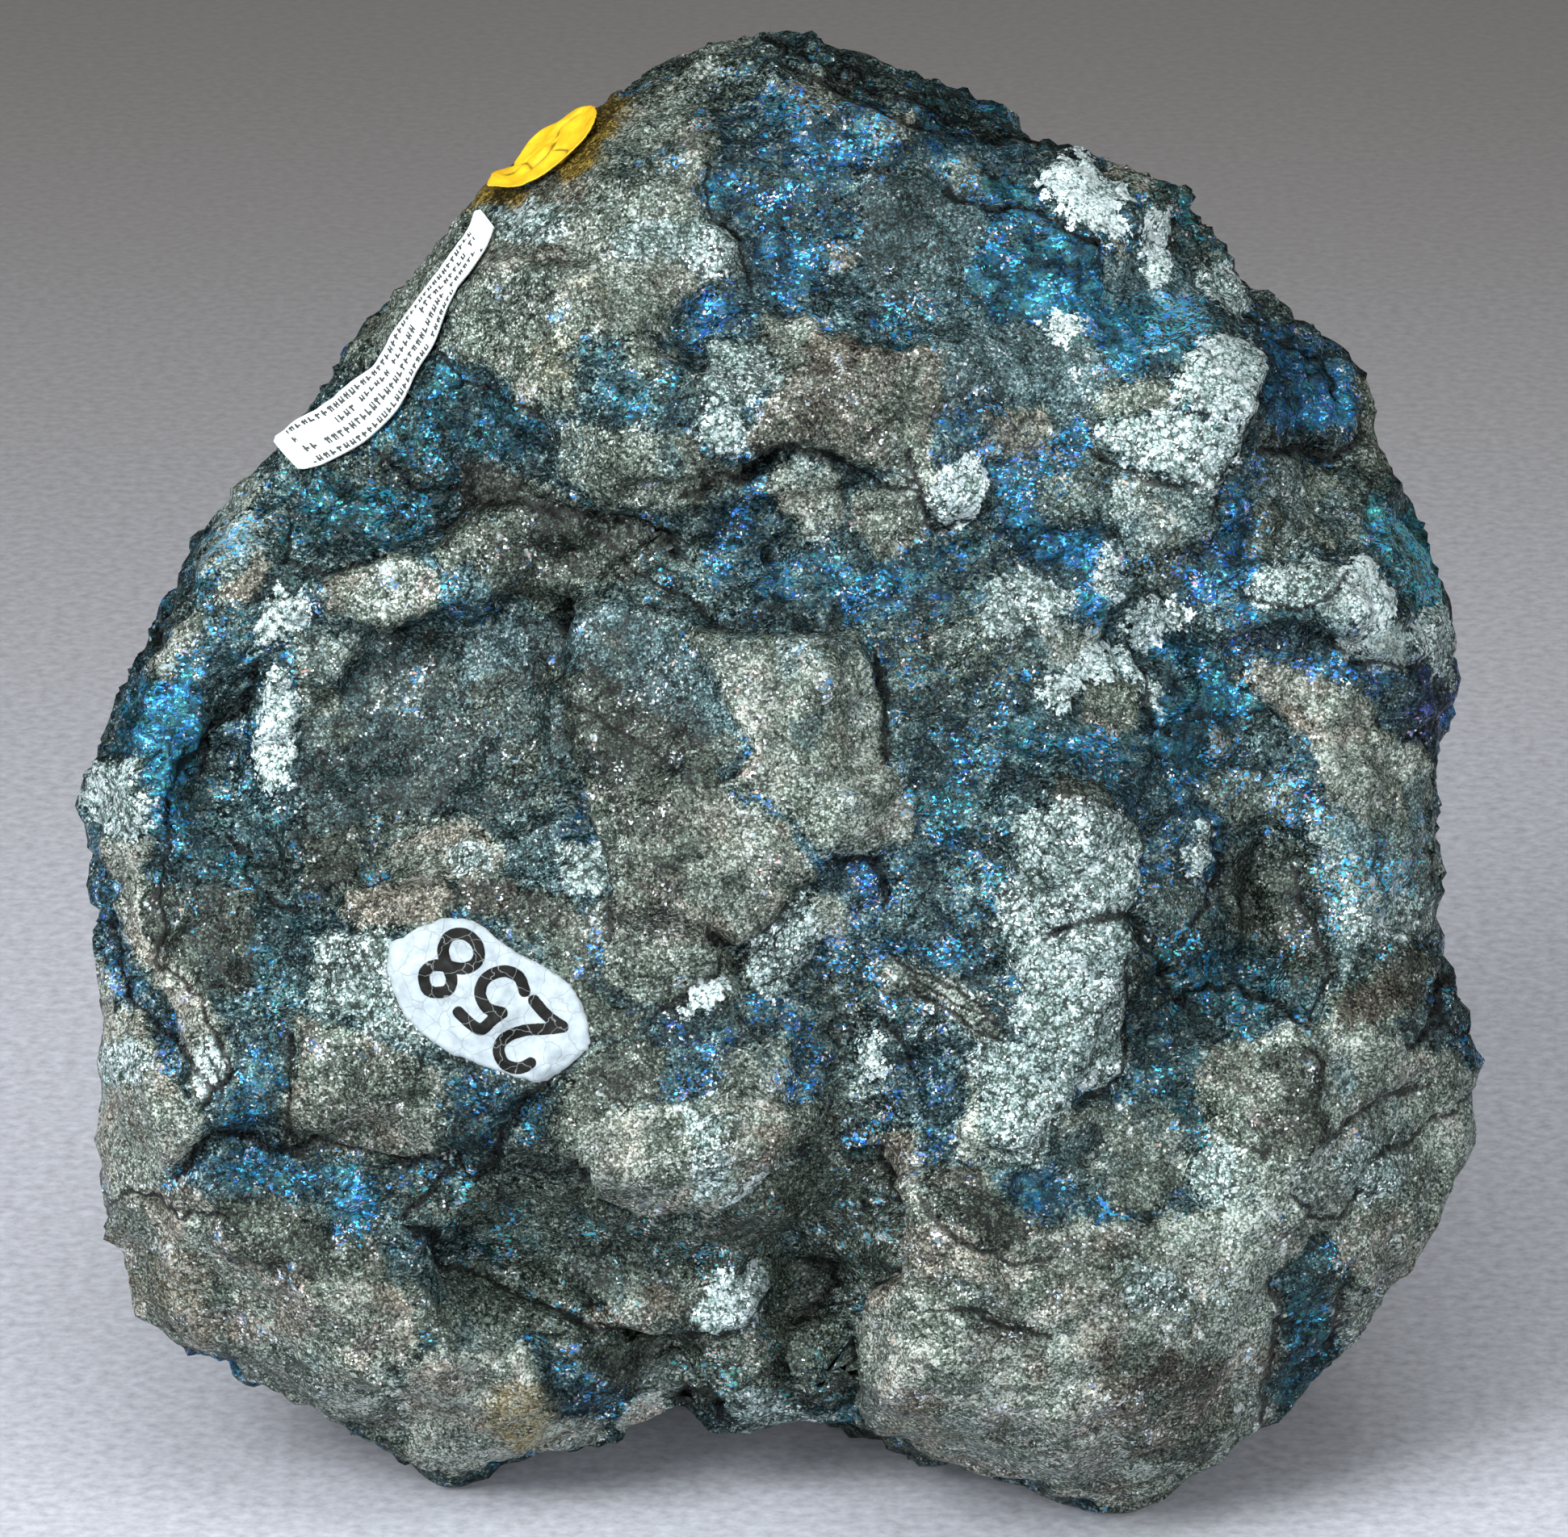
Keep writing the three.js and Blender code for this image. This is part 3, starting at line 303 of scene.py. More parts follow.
        6, -12.4, 8.4, -12, 11, -13.2, 13.4, -15.2, 14.5, -16.6, 12.4, -17, 10.6, -15.6, 8.4, -14.4, 6, -14,
    ]),
    "step_face": (0.3, 0.8, [11.5, -17.8, 12.6, -21.5, 14, -24, 11.3, -23.8, 11.4, -21.3]),
    "dark_green": (-0.2, -0.15, [
        16.6, -20.6, 20, -20.4, 23, -20.6, 25, -22.4, 25, -25, 23, -27.4, 19.6, -26.8, 17.2, -25,
    ]),
    "dark_olive": (0.6, -1.1, [9.3, -24, 13, -24.6, 13.6, -27, 16.4, -28, 16, -29.8, 12.4, -28.8, 9.4, -27]),
    "lower_right_lobe": (0.5, 0.42, [
        4.5, -33.2, 6.4, -31.8, 9, -31.2, 12.4, -29.4, 16.4, -28.6, 17.4, -27.6, 22, -28, 24.6, -27.4,
        28, -26.4, 31.4, -27.6, 32.6, -29, 31.4, -31.4, 31.2, -35, 30.4, -39, 31.6, -41, 28.4, -43.6,
        24.6, -45.6, 21.6, -46.4, 17.6, -45.4, 11.6, -43.8, 6.2, -41.8, 5.2, -39.4, 4.6, -36,
    ]),
    "lobe_top_band": (0.5, -0.25, [8, -31.4, 12.4, -29.8, 18, -28.6, 22, -29, 21, -33, 10, -33.4]),
    "lobe_neck": (0.75, 0.05, [
        6.2, -22.4, 9, -22.4, 9.2, -27, 12.4, -29, 10, -31.4, 6.4, -32, 7.4, -29, 6.6, -25.4,
    ]),
    "lobe_dark_band": (0.6, -0.5, [10.6, -33.4, 13, -33, 15.6, -33.8, 15.2, -35, 11.6, -34.6]),
    "lobe_mottle": (0.8, -0.3, [
        19.8, -35, 23, -34.6, 27.6, -36.6, 28.2, -40, 26.6, -43, 22.6, -43.4, 20.4, -40.6,
    ]),
    "right_low": (0.25, 0.35, [
        27, -18.4, 30.6, -15.6, 34.4, -15.8, 38.4, -17.2, 42, -17.8, 43.6, -19, 43.6, -23, 42, -27.4,
        40, -31.6, 38.2, -32.8, 35.6, -32, 34.4, -29, 32.6, -29, 31.4, -27.6, 28, -26.4, 25.8, -24,
        26.4, -21.4,
    ]),
    "right_low_left": (0.4, -1, [28.6, -17.4, 33, -17.6, 33.4, -23.6, 29.4, -24]),
    "right_low_dark": (0.3, -0.35, [26, -18.8, 30.6, -19, 31, -21, 28.4, -21.4, 26.2, -21]),
    "lower_tan": (0.75, 0.3, [
        34.2, -27.8, 37, -27.4, 40.8, -27.8, 40.4, -31, 38.4, -32.6, 35.8, -32, 34.6, -30.4,
    ]),
    "low_edge": (0.3, 0.25, [34, -32, 37.6, -32.8, 37.2, -34.6, 35, -36.8, 34.4, -34.6]),
    "bubbles": (-0.3, 0.1, [
        32, -3, 36, -2.6, 40.4, -2.4, 40.8, -6, 40.4, -10.4, 38.4, -11.2, 36, -11.4, 34.4, -13.4, 33.4, -11,
        33.2, -7,
    ]),
    "right_band_olive": (0.75, -0.35, [
        33.6, -14.4, 35.6, -13.6, 38.8, -11.2, 40, -12, 39.4, -14.4, 36.6, -16.4, 34, -16,
    ]),
    "ledge_light": (-0.4, -0.3, [22.8, -7.4, 26.2, -7.4, 26.2, -11, 23, -11]),
    "right_ridge": (0.2, 0.35, [33, 1.6, 36.6, 2.4, 40, 1.2, 40.9, -1, 40.4, -3, 36, -3.2, 33.4, -2]),
    "right_olive": (0.7, 0.2, [
        28, 5.5, 29.5, 6.3, 32, 5.3, 35, 4.8, 36.5, 3, 36.2, 1.4, 33.5, 1.2, 31, 2.6, 28.8, 4.2,
    ]),
    "under_shoulder": (0.5, -0.15, [18.2, 5, 20.6, 5.8, 22.2, 4.6, 22, 2.6, 19.8, 2, 18.4, 3.2]),
    "small_clast": (0.3, 0.6, [26.6, 2.2, 28, 2, 28.4, 0.8, 27, 0.4]),
    "shoulder_low": (-0.4, 0.3, [
        20.6, 17.6, 22.6, 17.6, 25, 16.6, 26.8, 16.2, 27.2, 14, 26, 12.8, 22.6, 12.8, 20.8, 14.6,
    ]),
    "shoulder_face": (0.5, -0.05, [19.9, 22.8, 21, 23.4, 24, 23.2, 24.6, 22, 23.4, 21.2, 21, 21.6, 20, 21.6]),
    "under_brow": (0.3, 0.35, [
        -0.6, 16.5, 0.3, 17.8, 2, 18.2, 3.5, 17.6, 4.3, 16.6, 4.6, 15.4, 3.4, 14.6, 2.4, 13.6, 1.2, 13.9,
        0.2, 14.9,
    ]),
    "under_brow_right": (0.45, 0.1, [
        4.6, 14.6, 5, 16, 6.4, 16.5, 8, 16.2, 9, 15, 8.6, 13.2, 7.2, 12.4, 5.6, 12.8,
    ]),
    "crown_olive_a": (0.5, -0.2, [0, 41.6, 2, 42.2, 4.2, 40.8, 4, 39, 1.6, 39]),
    "crown_olive_b": (0.6, -0.2, [5.8, 39.6, 7.6, 40, 9, 39.4, 8.6, 37.8, 6.4, 37.6]),
    "crown_face": (-1, -0.7, [5.4, 35.6, 9, 36, 12.4, 34.8, 13, 32, 11, 30, 8.4, 27.6, 6, 28.6, 5, 31]),
    "crown_tan": (0.9, 0.15, [3.2, 31.2, 4.2, 31.8, 5, 31, 4.4, 30, 3.4, 30.2]),
    "pod": (0.4, 0.1, [10.5, 36.4, 11.6, 37.5, 12.5, 36.6, 12.4, 35, 11.4, 34.4, 10.6, 35.2]),
    "edge_tan": (0.7, 0.2, [20.6, 37.8, 23.4, 38, 23.8, 36.8, 23.7, 35.2, 22.6, 35, 21.9, 36.2, 20.8, 36.8]),
    "edge_dark": (0.3, -0.3, [20.3, 31.8, 22.3, 32, 22.3, 29.8, 20.6, 29.8]),
    "right_brown": (-0.3, -0.4, [
        29.4, 19.4, 32, 18.4, 36, 18.4, 36.6, 16, 36.4, 13, 33, 13, 29.4, 12.8, 29, 16,
    ]),
    "right_rim": (0.2, -0.2, [34.8, 25.6, 37.6, 23.6, 37.9, 20, 38, 17.6, 36.2, 18, 36.2, 22]),
    # Partly painted light: lightened at the right edge, where the face turns away from the lamps.
    "right_band": (-0.3, 0.85, [33, 9.4, 36, 7.8, 38.8, 7.4, 38.6, 6.2, 34, 6.6, 32.8, 8]),
    "edge_olive": (0.6, -0.5, [39.6, 13, 41, 13.3, 41.6, 12, 40.4, 11.2, 39.6, 11.8]),
    "right_low_shade": (0.2, -0.3, [26.4, -17.2, 29.6, -17.2, 30, -23.4, 26.6, -23.6]),
    "seam_light": (0.1, 0.1, [-3.4, -17.4, 0.6, -17.2, 0.8, -20.4, -3, -20.6]),
    "lobe_side": (0.2, -0.3, [0, -20.6, 3.8, -20.6, 4, -23.8, 0.2, -23.8]),
    "rim_light": (-0.2, 0.5, [32.6, 12, 36, 11.6, 36.2, 8.4, 32.8, 8.6]),
    # Painted shade: darkened deep in the recess.
    "recess_painted_shade": (0.1, -1.1, [-12.8, -29.8, -9, -30, -8.8, -33.6, -12.4, -33.4]),
    "recess_floor_painted_shade": (0.1, -1.1, [-6.4, -33.4, -3, -33.2, -2.8, -36.6, -6, -36.8]),
    "label_top": (0.4, -0.75, [-16, -7.6, -12.4, -7.6, -12.4, -10.8, -15.8, -10.8]),
    # Painted highlight: teal rock at the right edge, under the painted glints of the tarnished zone there.
    "edge_painted_glints": (-0.9, -0.15, [37.6, 16, 39.6, 15.2, 42, 12, 41.4, 9.6, 39, 11.4, 37.4, 13.6]),
    # Painted light: the rock is lightened at the right rim, where the face turns away from the lamps.
    "rim_painted_light": (-0.3, 1.1, [36, 8.6, 39.4, 8.2, 39.2, 5.4, 36, 5.4]),
    "crown_end": (-0.8, -0.2, [19.8, 31.2, 22.6, 31, 22.8, 28, 20, 28]),
}

# Tarnished zones, each with its hue (0 teal, 0.5 blue, 1 violet) and its strength.
BLUE_ZONES = {
    "top_slope": (0.25, 0.5, [
        -1, 46, 2, 46, 5, 43.6, 10, 42.6, 14, 41, 18, 38.6, 15.6, 38, 10, 40, 4.6, 41.4, 1, 43,
    ]),
    "slope_azure": (0.45, 0.9, [6.8, 40.2, 10, 40.2, 14, 38.8, 13.6, 37.8, 10, 38.6, 7, 39.2]),
    "crown_seam": (0.45, 0.85, [
        -4.6, 39.6, -3, 39.8, -1.6, 37, -1, 34, 2, 33.6, 3.4, 31, 2.6, 28.6, -0.6, 27.8, -2.2, 30, -2.6, 32,
        -4.4, 33.4, -4.6, 35, -3.8, 37,
    ]),
    "crown": (0.45, 0.75, [
        -3.4, 41, 0, 42, 5, 41, 9, 40.6, 13, 39.4, 15.6, 38, 15.8, 35.6, 17, 33.4, 19, 32.6, 15, 31.4, 13, 32,
        9, 36, 5.4, 35.6, 5, 31, 3.4, 31, -1, 34, -3, 38,
    ]),
    "crown_low": (0.4, 0.35, [
        -2, 30, 2.6, 28.6, 5, 31, 8.4, 27.6, 10.4, 27.4, 10.6, 26, 6.4, 25.4, 4.6, 26.6, 2, 27.8, -1, 28,
    ]),
    "crown_azure": (0.38, 1.2, [
        11.6, 31, 14.6, 32, 17, 33, 19, 32.4, 20.4, 30, 22.6, 29, 25.6, 29, 26.8, 27.8, 26, 26, 24.6, 25.4,
        24.4, 23.6, 21, 23.6, 19.4, 25.4, 15.8, 26.6, 13, 26.8, 12, 28.6,
    ]),
    "glass_clast": (0.3, 1.3, [12.6, 36.2, 14, 36.6, 15.6, 35.8, 15.6, 34.4, 13.4, 34.2, 12.4, 35]),
    "edge_facets": (0.25, 0.8, [
        24, 36.6, 25, 36.9, 26.4, 35, 26.8, 33, 26.4, 31.6, 24.9, 30.4, 24.8, 32.6, 24.4, 34.8,
    ]),
    "brow_blue": (0.5, 0.8, [
        -6.3, 27.4, -5, 28.6, -3.6, 29.4, -1.8, 29.6, -0.8, 28, -1.4, 26.2, -4, 26, -6.2, 26.2,
    ]),
    "blue_mid": (0.35, 0.7, [
        -11.8, 25.4, -9.4, 25.8, -8.8, 24, -6.6, 22.6, -5, 23.6, -4.9, 20.4, -8, 20.6, -11.2, 21.4, -12, 23.6,
    ]),
    "brow_low": (0.5, 0.9, [
        9.6, 22, 11, 22, 15.4, 21, 15.8, 19.8, 18.8, 21.4, 19.4, 19.6, 18.4, 17.6, 15.6, 17.6, 13.4, 15.4,
        13, 18.6, 11, 19.6, 9.6, 20,
    ]),
    "under_knob": (0.45, 1.6, [
        13.4, 15.4, 15, 17, 16.4, 14.6, 18, 14.4, 20, 15, 20, 12.6, 18.6, 11.8, 15, 12.4, 13.6, 13.6,
    ]),
    "azure_drop": (0.4, 1, [18, 11, 19.4, 11.2, 20.6, 10.2, 20.4, 8.8, 18.6, 8.8]),
    "upper_left_seam": (0.45, 0.8, [-10.2, 37, -8, 37.4, -5.4, 37, -5.4, 36.2, -8, 36.4, -10, 36.4]),
    "below_strip": (0.3, 0.75, [
        -20.6, 25.8, -19, 24.6, -17, 23.2, -15, 22, -13.8, 21, -13.6, 18.8, -16, 17.8, -19.6, 18.4, -20.4, 20,
        -22.6, 22.6,
    ]),
    "strip_foot": (0.3, 0.7, [
        -26.4, 19.6, -24.4, 22, -22.6, 22.6, -20.4, 20, -19.6, 18.4, -21, 17, -24, 18, -26.4, 18.8,
    ]),
    "upper_hollow": (0.3, 0.7, [
        -30, 17.6, -28, 18.4, -24.6, 17.8, -21, 17.4, -19.6, 16, -22, 14, -24.8, 12.6, -29.6, 12,
    ]),
    "left_rim": (0.38, 1.5, [
        -40, 4, -38.6, 6, -36.8, 5, -35.6, 6.6, -35, 4, -34.8, 0, -36.2, -2, -37.4, -5, -38.4, -4, -37.8, -2,
        -38.4, 0.2, -41, 0.6,
    ]),
    "left_rim_top": (0.35, 0.9, [
        -36.8, 12, -35.4, 14.6, -33, 16.6, -31.2, 16.2, -31, 14, -33.8, 12, -34.8, 9.8, -36.8, 9.6,
    ]),
    "rim_foot": (0.45, 0.7, [-43.2, -2.6, -42.4, -4.2, -41.2, -4.8, -40.8, -8, -42, -7.6]),
    "rim_inner": (0.4, 0.7, [-35.4, 5, -35, 8, -33, 8.6, -32.4, 6, -33.8, 4.6]),
    "azure_end": (0.35, 2, [22.4, 28.6, 25.6, 28.6, 26.4, 26, 24.6, 24.6, 22.6, 25]),
    "recess_left": (0.25, 0.9, [-20, -27, -15, -26, -14, -30, -18, -31]),
    "navy_stripe": (0.5, 0.8, [
        -40.8, -10.2, -39.4, -10.6, -38.8, -13, -37, -15.6, -36.4, -18.6, -37.6, -19.6, -38.8, -16,
        -40.4, -14.4,
    ]),
    "bowl_dark": (0.3, 0.25, [
        -36.4, -2.6, -34, -1.6, -31.6, -2.6, -29.4, -7.4, -29, -12.6, -30, -14.8, -33.6, -13.4, -35.6, -10.6,
        -37, -7,
    ]),
    "bowl_blue": (0.5, 0.8, [-12.8, -2.2, -11.8, -2.4, -11.4, -4.8, -12.6, -4.8]),
    "steel": (0.4, 0.48, [
        6.9, 7, 11, 6.4, 15.6, 5.6, 16, 3, 16, -0.5, 14.6, -2.6, 14.4, -6, 13.4, -9, 12, -12, 8.6, -10.6,
        7, -6, 8.4, -3, 6.8, 0,
    ]),
    "steel_bright": (0.32, 0.7, [
        12.5, 3.4, 15, 3.8, 17, 2.6, 16.4, -0.6, 13, -1, 9, -1, 8.6, -4.4, 11, -4.6, 14.4, -3, 14, 0,
    ]),
    "middle": (0.42, 0.75, [
        -4.5, 15, -2.6, 16.2, -0.6, 14.6, 2.4, 13.2, 5, 12.6, 9, 13.6, 12.6, 14, 14.8, 12.4, 12.4, 9, 8, 8.4,
        2, 8.8, -4.5, 11,
    ]),
    "middle_left": (0.3, 0.45, [-13, 10.6, -8, 12, -4.4, 13, -4.4, 9.8, -8, 9.8, -12, 9.6]),
    "navy_pocket": (0.38, 1.1, [
        22.2, 7.4, 24, 8, 26, 8, 27, 6.4, 30, 4.2, 28.4, 2.6, 28.6, 0, 25, -0.4, 22.4, 1, 22.6, 3.4, 24.4, 5,
    ]),
    "navy_band": (0.55, 0.7, [27, 7.4, 33, 6.4, 38.6, 6.4, 40, 4.4, 37, 3.8, 34, 5, 30, 6]),
    "violet_tooth": (0.8, 1, [39.4, 6.2, 41, 5.6, 42.4, 3.6, 42.2, 2, 40.4, 1.8, 39.2, 3.4]),
    "right_edge": (0.3, 1.5, [
        36.6, 16.6, 38.2, 16.4, 40.6, 14, 42.2, 12, 42.3, 10.8, 40, 11, 38.8, 11.4, 37.2, 12.4, 36.4, 14,
    ]),
    "right_dark": (0.5, 1.2, [
        29.8, 27.6, 32, 27.4, 35.4, 25.4, 36, 23, 35.6, 21, 33, 20.4, 30.4, 20.6, 29.8, 24,
    ]),
    "shoulder_foot": (0.5, 0.9, [
        28.6, 20.6, 30, 20, 30, 16, 29.4, 12.6, 28.4, 10, 24, 9.4, 24, 11.6, 27.2, 13, 27.4, 16.4,
    ]),
    "indigo": (0.5, 0.45, [
        -9, -12.6, -6, -13.6, -5.6, -15.2, -3, -14.6, -1.4, -14, 3, -15, 4.4, -16, 4.4, -19.4, 1, -20.6,
        -2, -18.6, -6.4, -20.4, -6.4, -16.6, -8, -15.6,
    ]),
    "indigo_right": (0.5, 0.6, [6.6, -17, 10, -17, 11.4, -19, 11.2, -24, 9.2, -24.4, 7.4, -21]),
    "left_band": (0.4, 0.85, [
        -35.8, -25, -34.6, -23.4, -31, -23.2, -30, -24, -25, -24, -24, -26, -24.6, -28.8, -26.8, -29.2,
        -28, -27, -33, -26.8,
    ]),
    "left_seam": (0.4, 0.8, [
        -32.5, -16, -30.4, -16.4, -29.4, -19.6, -30, -23.4, -33.8, -23.4, -34.2, -21, -33, -19.4,
    ]),
    "number_foot": (0.4, 0.75, [
        -20.5, -18, -16.6, -19.4, -13.6, -19.8, -14.2, -22.4, -17.4, -24, -20, -22.6,
    ]),
    "label_dot": (0.5, 0.9, [-11.8, -10.6, -10.2, -10.4, -10, -12.4, -11.6, -12.2]),
    "lobe_spot": (0.45, 1, [13.4, -24.6, 15, -23.9, 17.4, -24.8, 17.6, -27, 15.4, -27.6, 13.6, -26.4]),
    "pit_spot": (0.55, 0.9, [4, -5.8, 6.8, -5.8, 7.2, -8.2, 5.2, -8.4]),
    "blue_line": (0.45, 1, [5.5, -10.8, 8.4, -10.6, 12.4, -11.4, 12.6, -13.6, 9.4, -12.2, 6, -12.4]),
    "ledges": (0.33, 0.6, [
        21.6, -9.4, 24, -8.6, 27, -10.4, 31, -11, 33, -14, 33, -16.4, 28.6, -15, 26.6, -17, 26.4, -21.4,
        25.4, -23.4, 23, -20.6, 21.4, -19, 21.8, -14.8,
    ]),
    "bubbles": (0.35, 0.75, [32, -3, 36, -2.6, 40.4, -2.4, 40.4, -8, 37, -10, 34.4, -13, 33, -8]),
    "flake": (0.5, 1.6, [25, -3, 26.4, -2.8, 27.6, -4.6, 27.2, -6.8, 25.6, -6.6, 24.8, -5]),
    "ledge_top": (0.45, 0.6, [
        22, 0, 25, -0.4, 28.6, 0, 32, 0.6, 32.8, -2, 32, -5, 28, -4, 26.4, -2.8, 24.6, -5, 24, -8, 22, -8,
    ]),
    "lower_right_pit": (0.3, 0.85, [
        30.6, -32.2, 33, -31, 34.4, -32.4, 34.6, -36, 33.6, -39.6, 31.6, -41, 30.6, -38, 31.2, -35,
    ]),
    "recess": (0.2, 0.2, [
        -21, -27, -17, -25, -11.6, -26, -8.6, -28, -4, -28.2, 0, -25.4, 2.4, -24, 6.4, -25, 7, -31,
        4.4, -33.6, 4.4, -39.6, -1, -38.6, -4.6, -40.4, -9, -38.4, -14.6, -36, -15, -32,
    ]),
    "foot_wedge": (0.4, 0.5, [-15, -36.6, -11, -36, -9.6, -38.6, -11, -40.4, -14.4, -39.8]),
    # Painted highlight: strong tarnish that fills the right edge with painted azure glints.
    "edge_painted_glints": (0.25, 1.9, [37.4, 16.4, 39.8, 15.4, 42.2, 12, 41.4, 9.4, 38.8, 11.2, 37.2, 13.6]),
}

# Dark hollows and undersides, each with its depth of shade.
DARK_ZONES = {
    "top_slope": (0.7, [1, 45, 6, 43, 12, 42, 18.5, 38.5, 15.5, 38, 9.5, 40, 4.5, 41, 1, 43]),
    "right_rim": (0.75, [30.6, 20, 35, 19.8, 35, 18.5, 31, 18.6]),
    "bowl_crevice": (0.15, [-34.6, 3.6, -33.4, 5.8, -32.2, 5.4, -32, 3, -33, 1, -34.4, 0.6]),
    "rim_hole": (0.7, [-37.6, 9, -37, 11.6, -36.2, 11.4, -36.4, 8.6]),
    "recess_step": (0.9, [-20.8, -28.6, -19.8, -28.8, -19.6, -30.4, -20.4, -30.2]),
    "recess_black_left": (1, [-11.2, -35.4, -8, -35.6, -5.6, -36.6, -6, -38, -9, -37.6, -11, -36.6]),
    "recess_black_right": (0.9, [1.2, -30.8, 3.4, -31, 3.4, -34, 1.6, -34.4]),
    "glassy_hollow": (0.25, [
        27.8, -5.4, 30, -4.9, 31.8, -5.4, 31.6, -8.6, 30, -10.6, 28.4, -9.6, 27.7, -7.6,
    ]),
    "glassy_wall": (0.35, [31.8, -7.4, 33.2, -8, 33.4, -13.4, 32, -13]),
    "right_ledges": (0.45, [
        21.6, -10, 27, -10.8, 33, -14, 32, -16, 28.4, -15, 26.6, -17.4, 25.6, -22, 23.4, -20.4, 21.8, -17,
    ]),
    "right_band": (0.5, [22, 5, 28, 4.5, 28, 2, 23, 2]),
    "under_lip": (0.5, [-18.5, 12, -13.5, 12, -13, 9, -16, 9, -18.5, 11]),
    "over_slab": (0.8, [-4.5, 9.6, 5, 9.3, 5, 7.6, -4, 7.6]),
    "upper_hollow": (0.6, [-30, 18, -25, 18, -20, 16, -23, 13, -29.5, 12.4]),
    "below_strip": (0.8, [-28, 17, -27, 21, -22, 24, -18, 22.6, -14, 20, -14, 17, -20, 14, -26, 14]),
    "left_crevice": (0.2, [-38, -15, -37, -15, -36.4, -19, -37.6, -19.4]),
    "number_shadow": (0.5, [-20, -18, -16, -19.5, -12.5, -19, -13.5, -22, -18, -24]),
    "left_bowl_edge": (0.65, [-32.4, -3, -30.4, -5, -29, -9, -29.4, -13, -32, -12.6, -32.4, -8]),
    "rim_shade": (0.5, [-36.5, -2, -34, -2, -32.4, -8, -33.6, -12.6, -35.6, -10.6, -37, -7]),
    "slit": (1, [-1.6, 17, -0.6, 18, 1.2, 19, 0.9, 18.3, -0.6, 17.2]),
    "under_clast": (0.5, [3.4, 16.6, 6, 17, 9.2, 16, 9.4, 15, 7, 16.3, 4, 15.9]),
    "pit": (1, [-3, -10.5, -1, -11, -1.5, -12.5, -3, -12]),
    "strip_pit": (0.9, [-14.7, 21.3, -13.9, 21.3, -13.9, 20.6, -14.7, 20.6]),
    "right_low_pit": (0.5, [31.5, -33, 34.5, -33, 34, -37, 31.5, -40]),
    "tan_slot": (0.8, [37.2, -30, 38.4, -29.6, 38.6, -32, 37.6, -32.4]),
}

# Cracks: a path, and how wide and how deep the crack is in mm.
CRACKS = {
    "under_brow": ([-9, 16.4, -3, 17.1, -1.2, 17.8, 1.3, 19], 0.5, 1.6),
    "under_shoulder": ([-16, 16.5, -13, 15.2, -8.5, 13.8, -5.5, 12.8], 0.5, 0.9),
    "bowl_wall": ([-12.2, 9, -13.1, 5, -12.6, 1.5, -11.2, -4, -9.8, -8.2], 0.5, 1.4),
    "slab_foot": ([-3.5, -10.8, -2.5, -12, 0, -10.3, 2, -7.8], 0.6, 1.6),
    "left_seam": ([
        -36, -24.8, -33.5, -22.8, -31, -22.8, -27, -23, -23.5, -24.3, -20, -24.2, -16, -21.8, -13, -18.8,
    ], 0.5, 1.1),
    "bowl_crevice": ([-33, 4.6, -34, 1.5, -33.4, -1, -31, -5, -30, -9], 0.9, 0.7),
    "right_shelf": ([28, 7, 31, 7.8, 34, 7.2, 37, 5.6], 0.5, 0.9),
    "recess_left": ([-20.5, -30.5, -15, -32, -10.5, -34.6, -5.5, -36.8], 0.8, 1.4),
    "recess_wall": ([7.6, -26.8, 7.2, -30.8, 5.8, -31.5, 4.3, -34, 4.8, -39.8], 0.7, 1.6),
    "lump_foot": ([-13.5, -23, -11, -26, -8.5, -28, -3, -27.4, -0.5, -25.4, 2, -23], 0.6, 1.2),
}
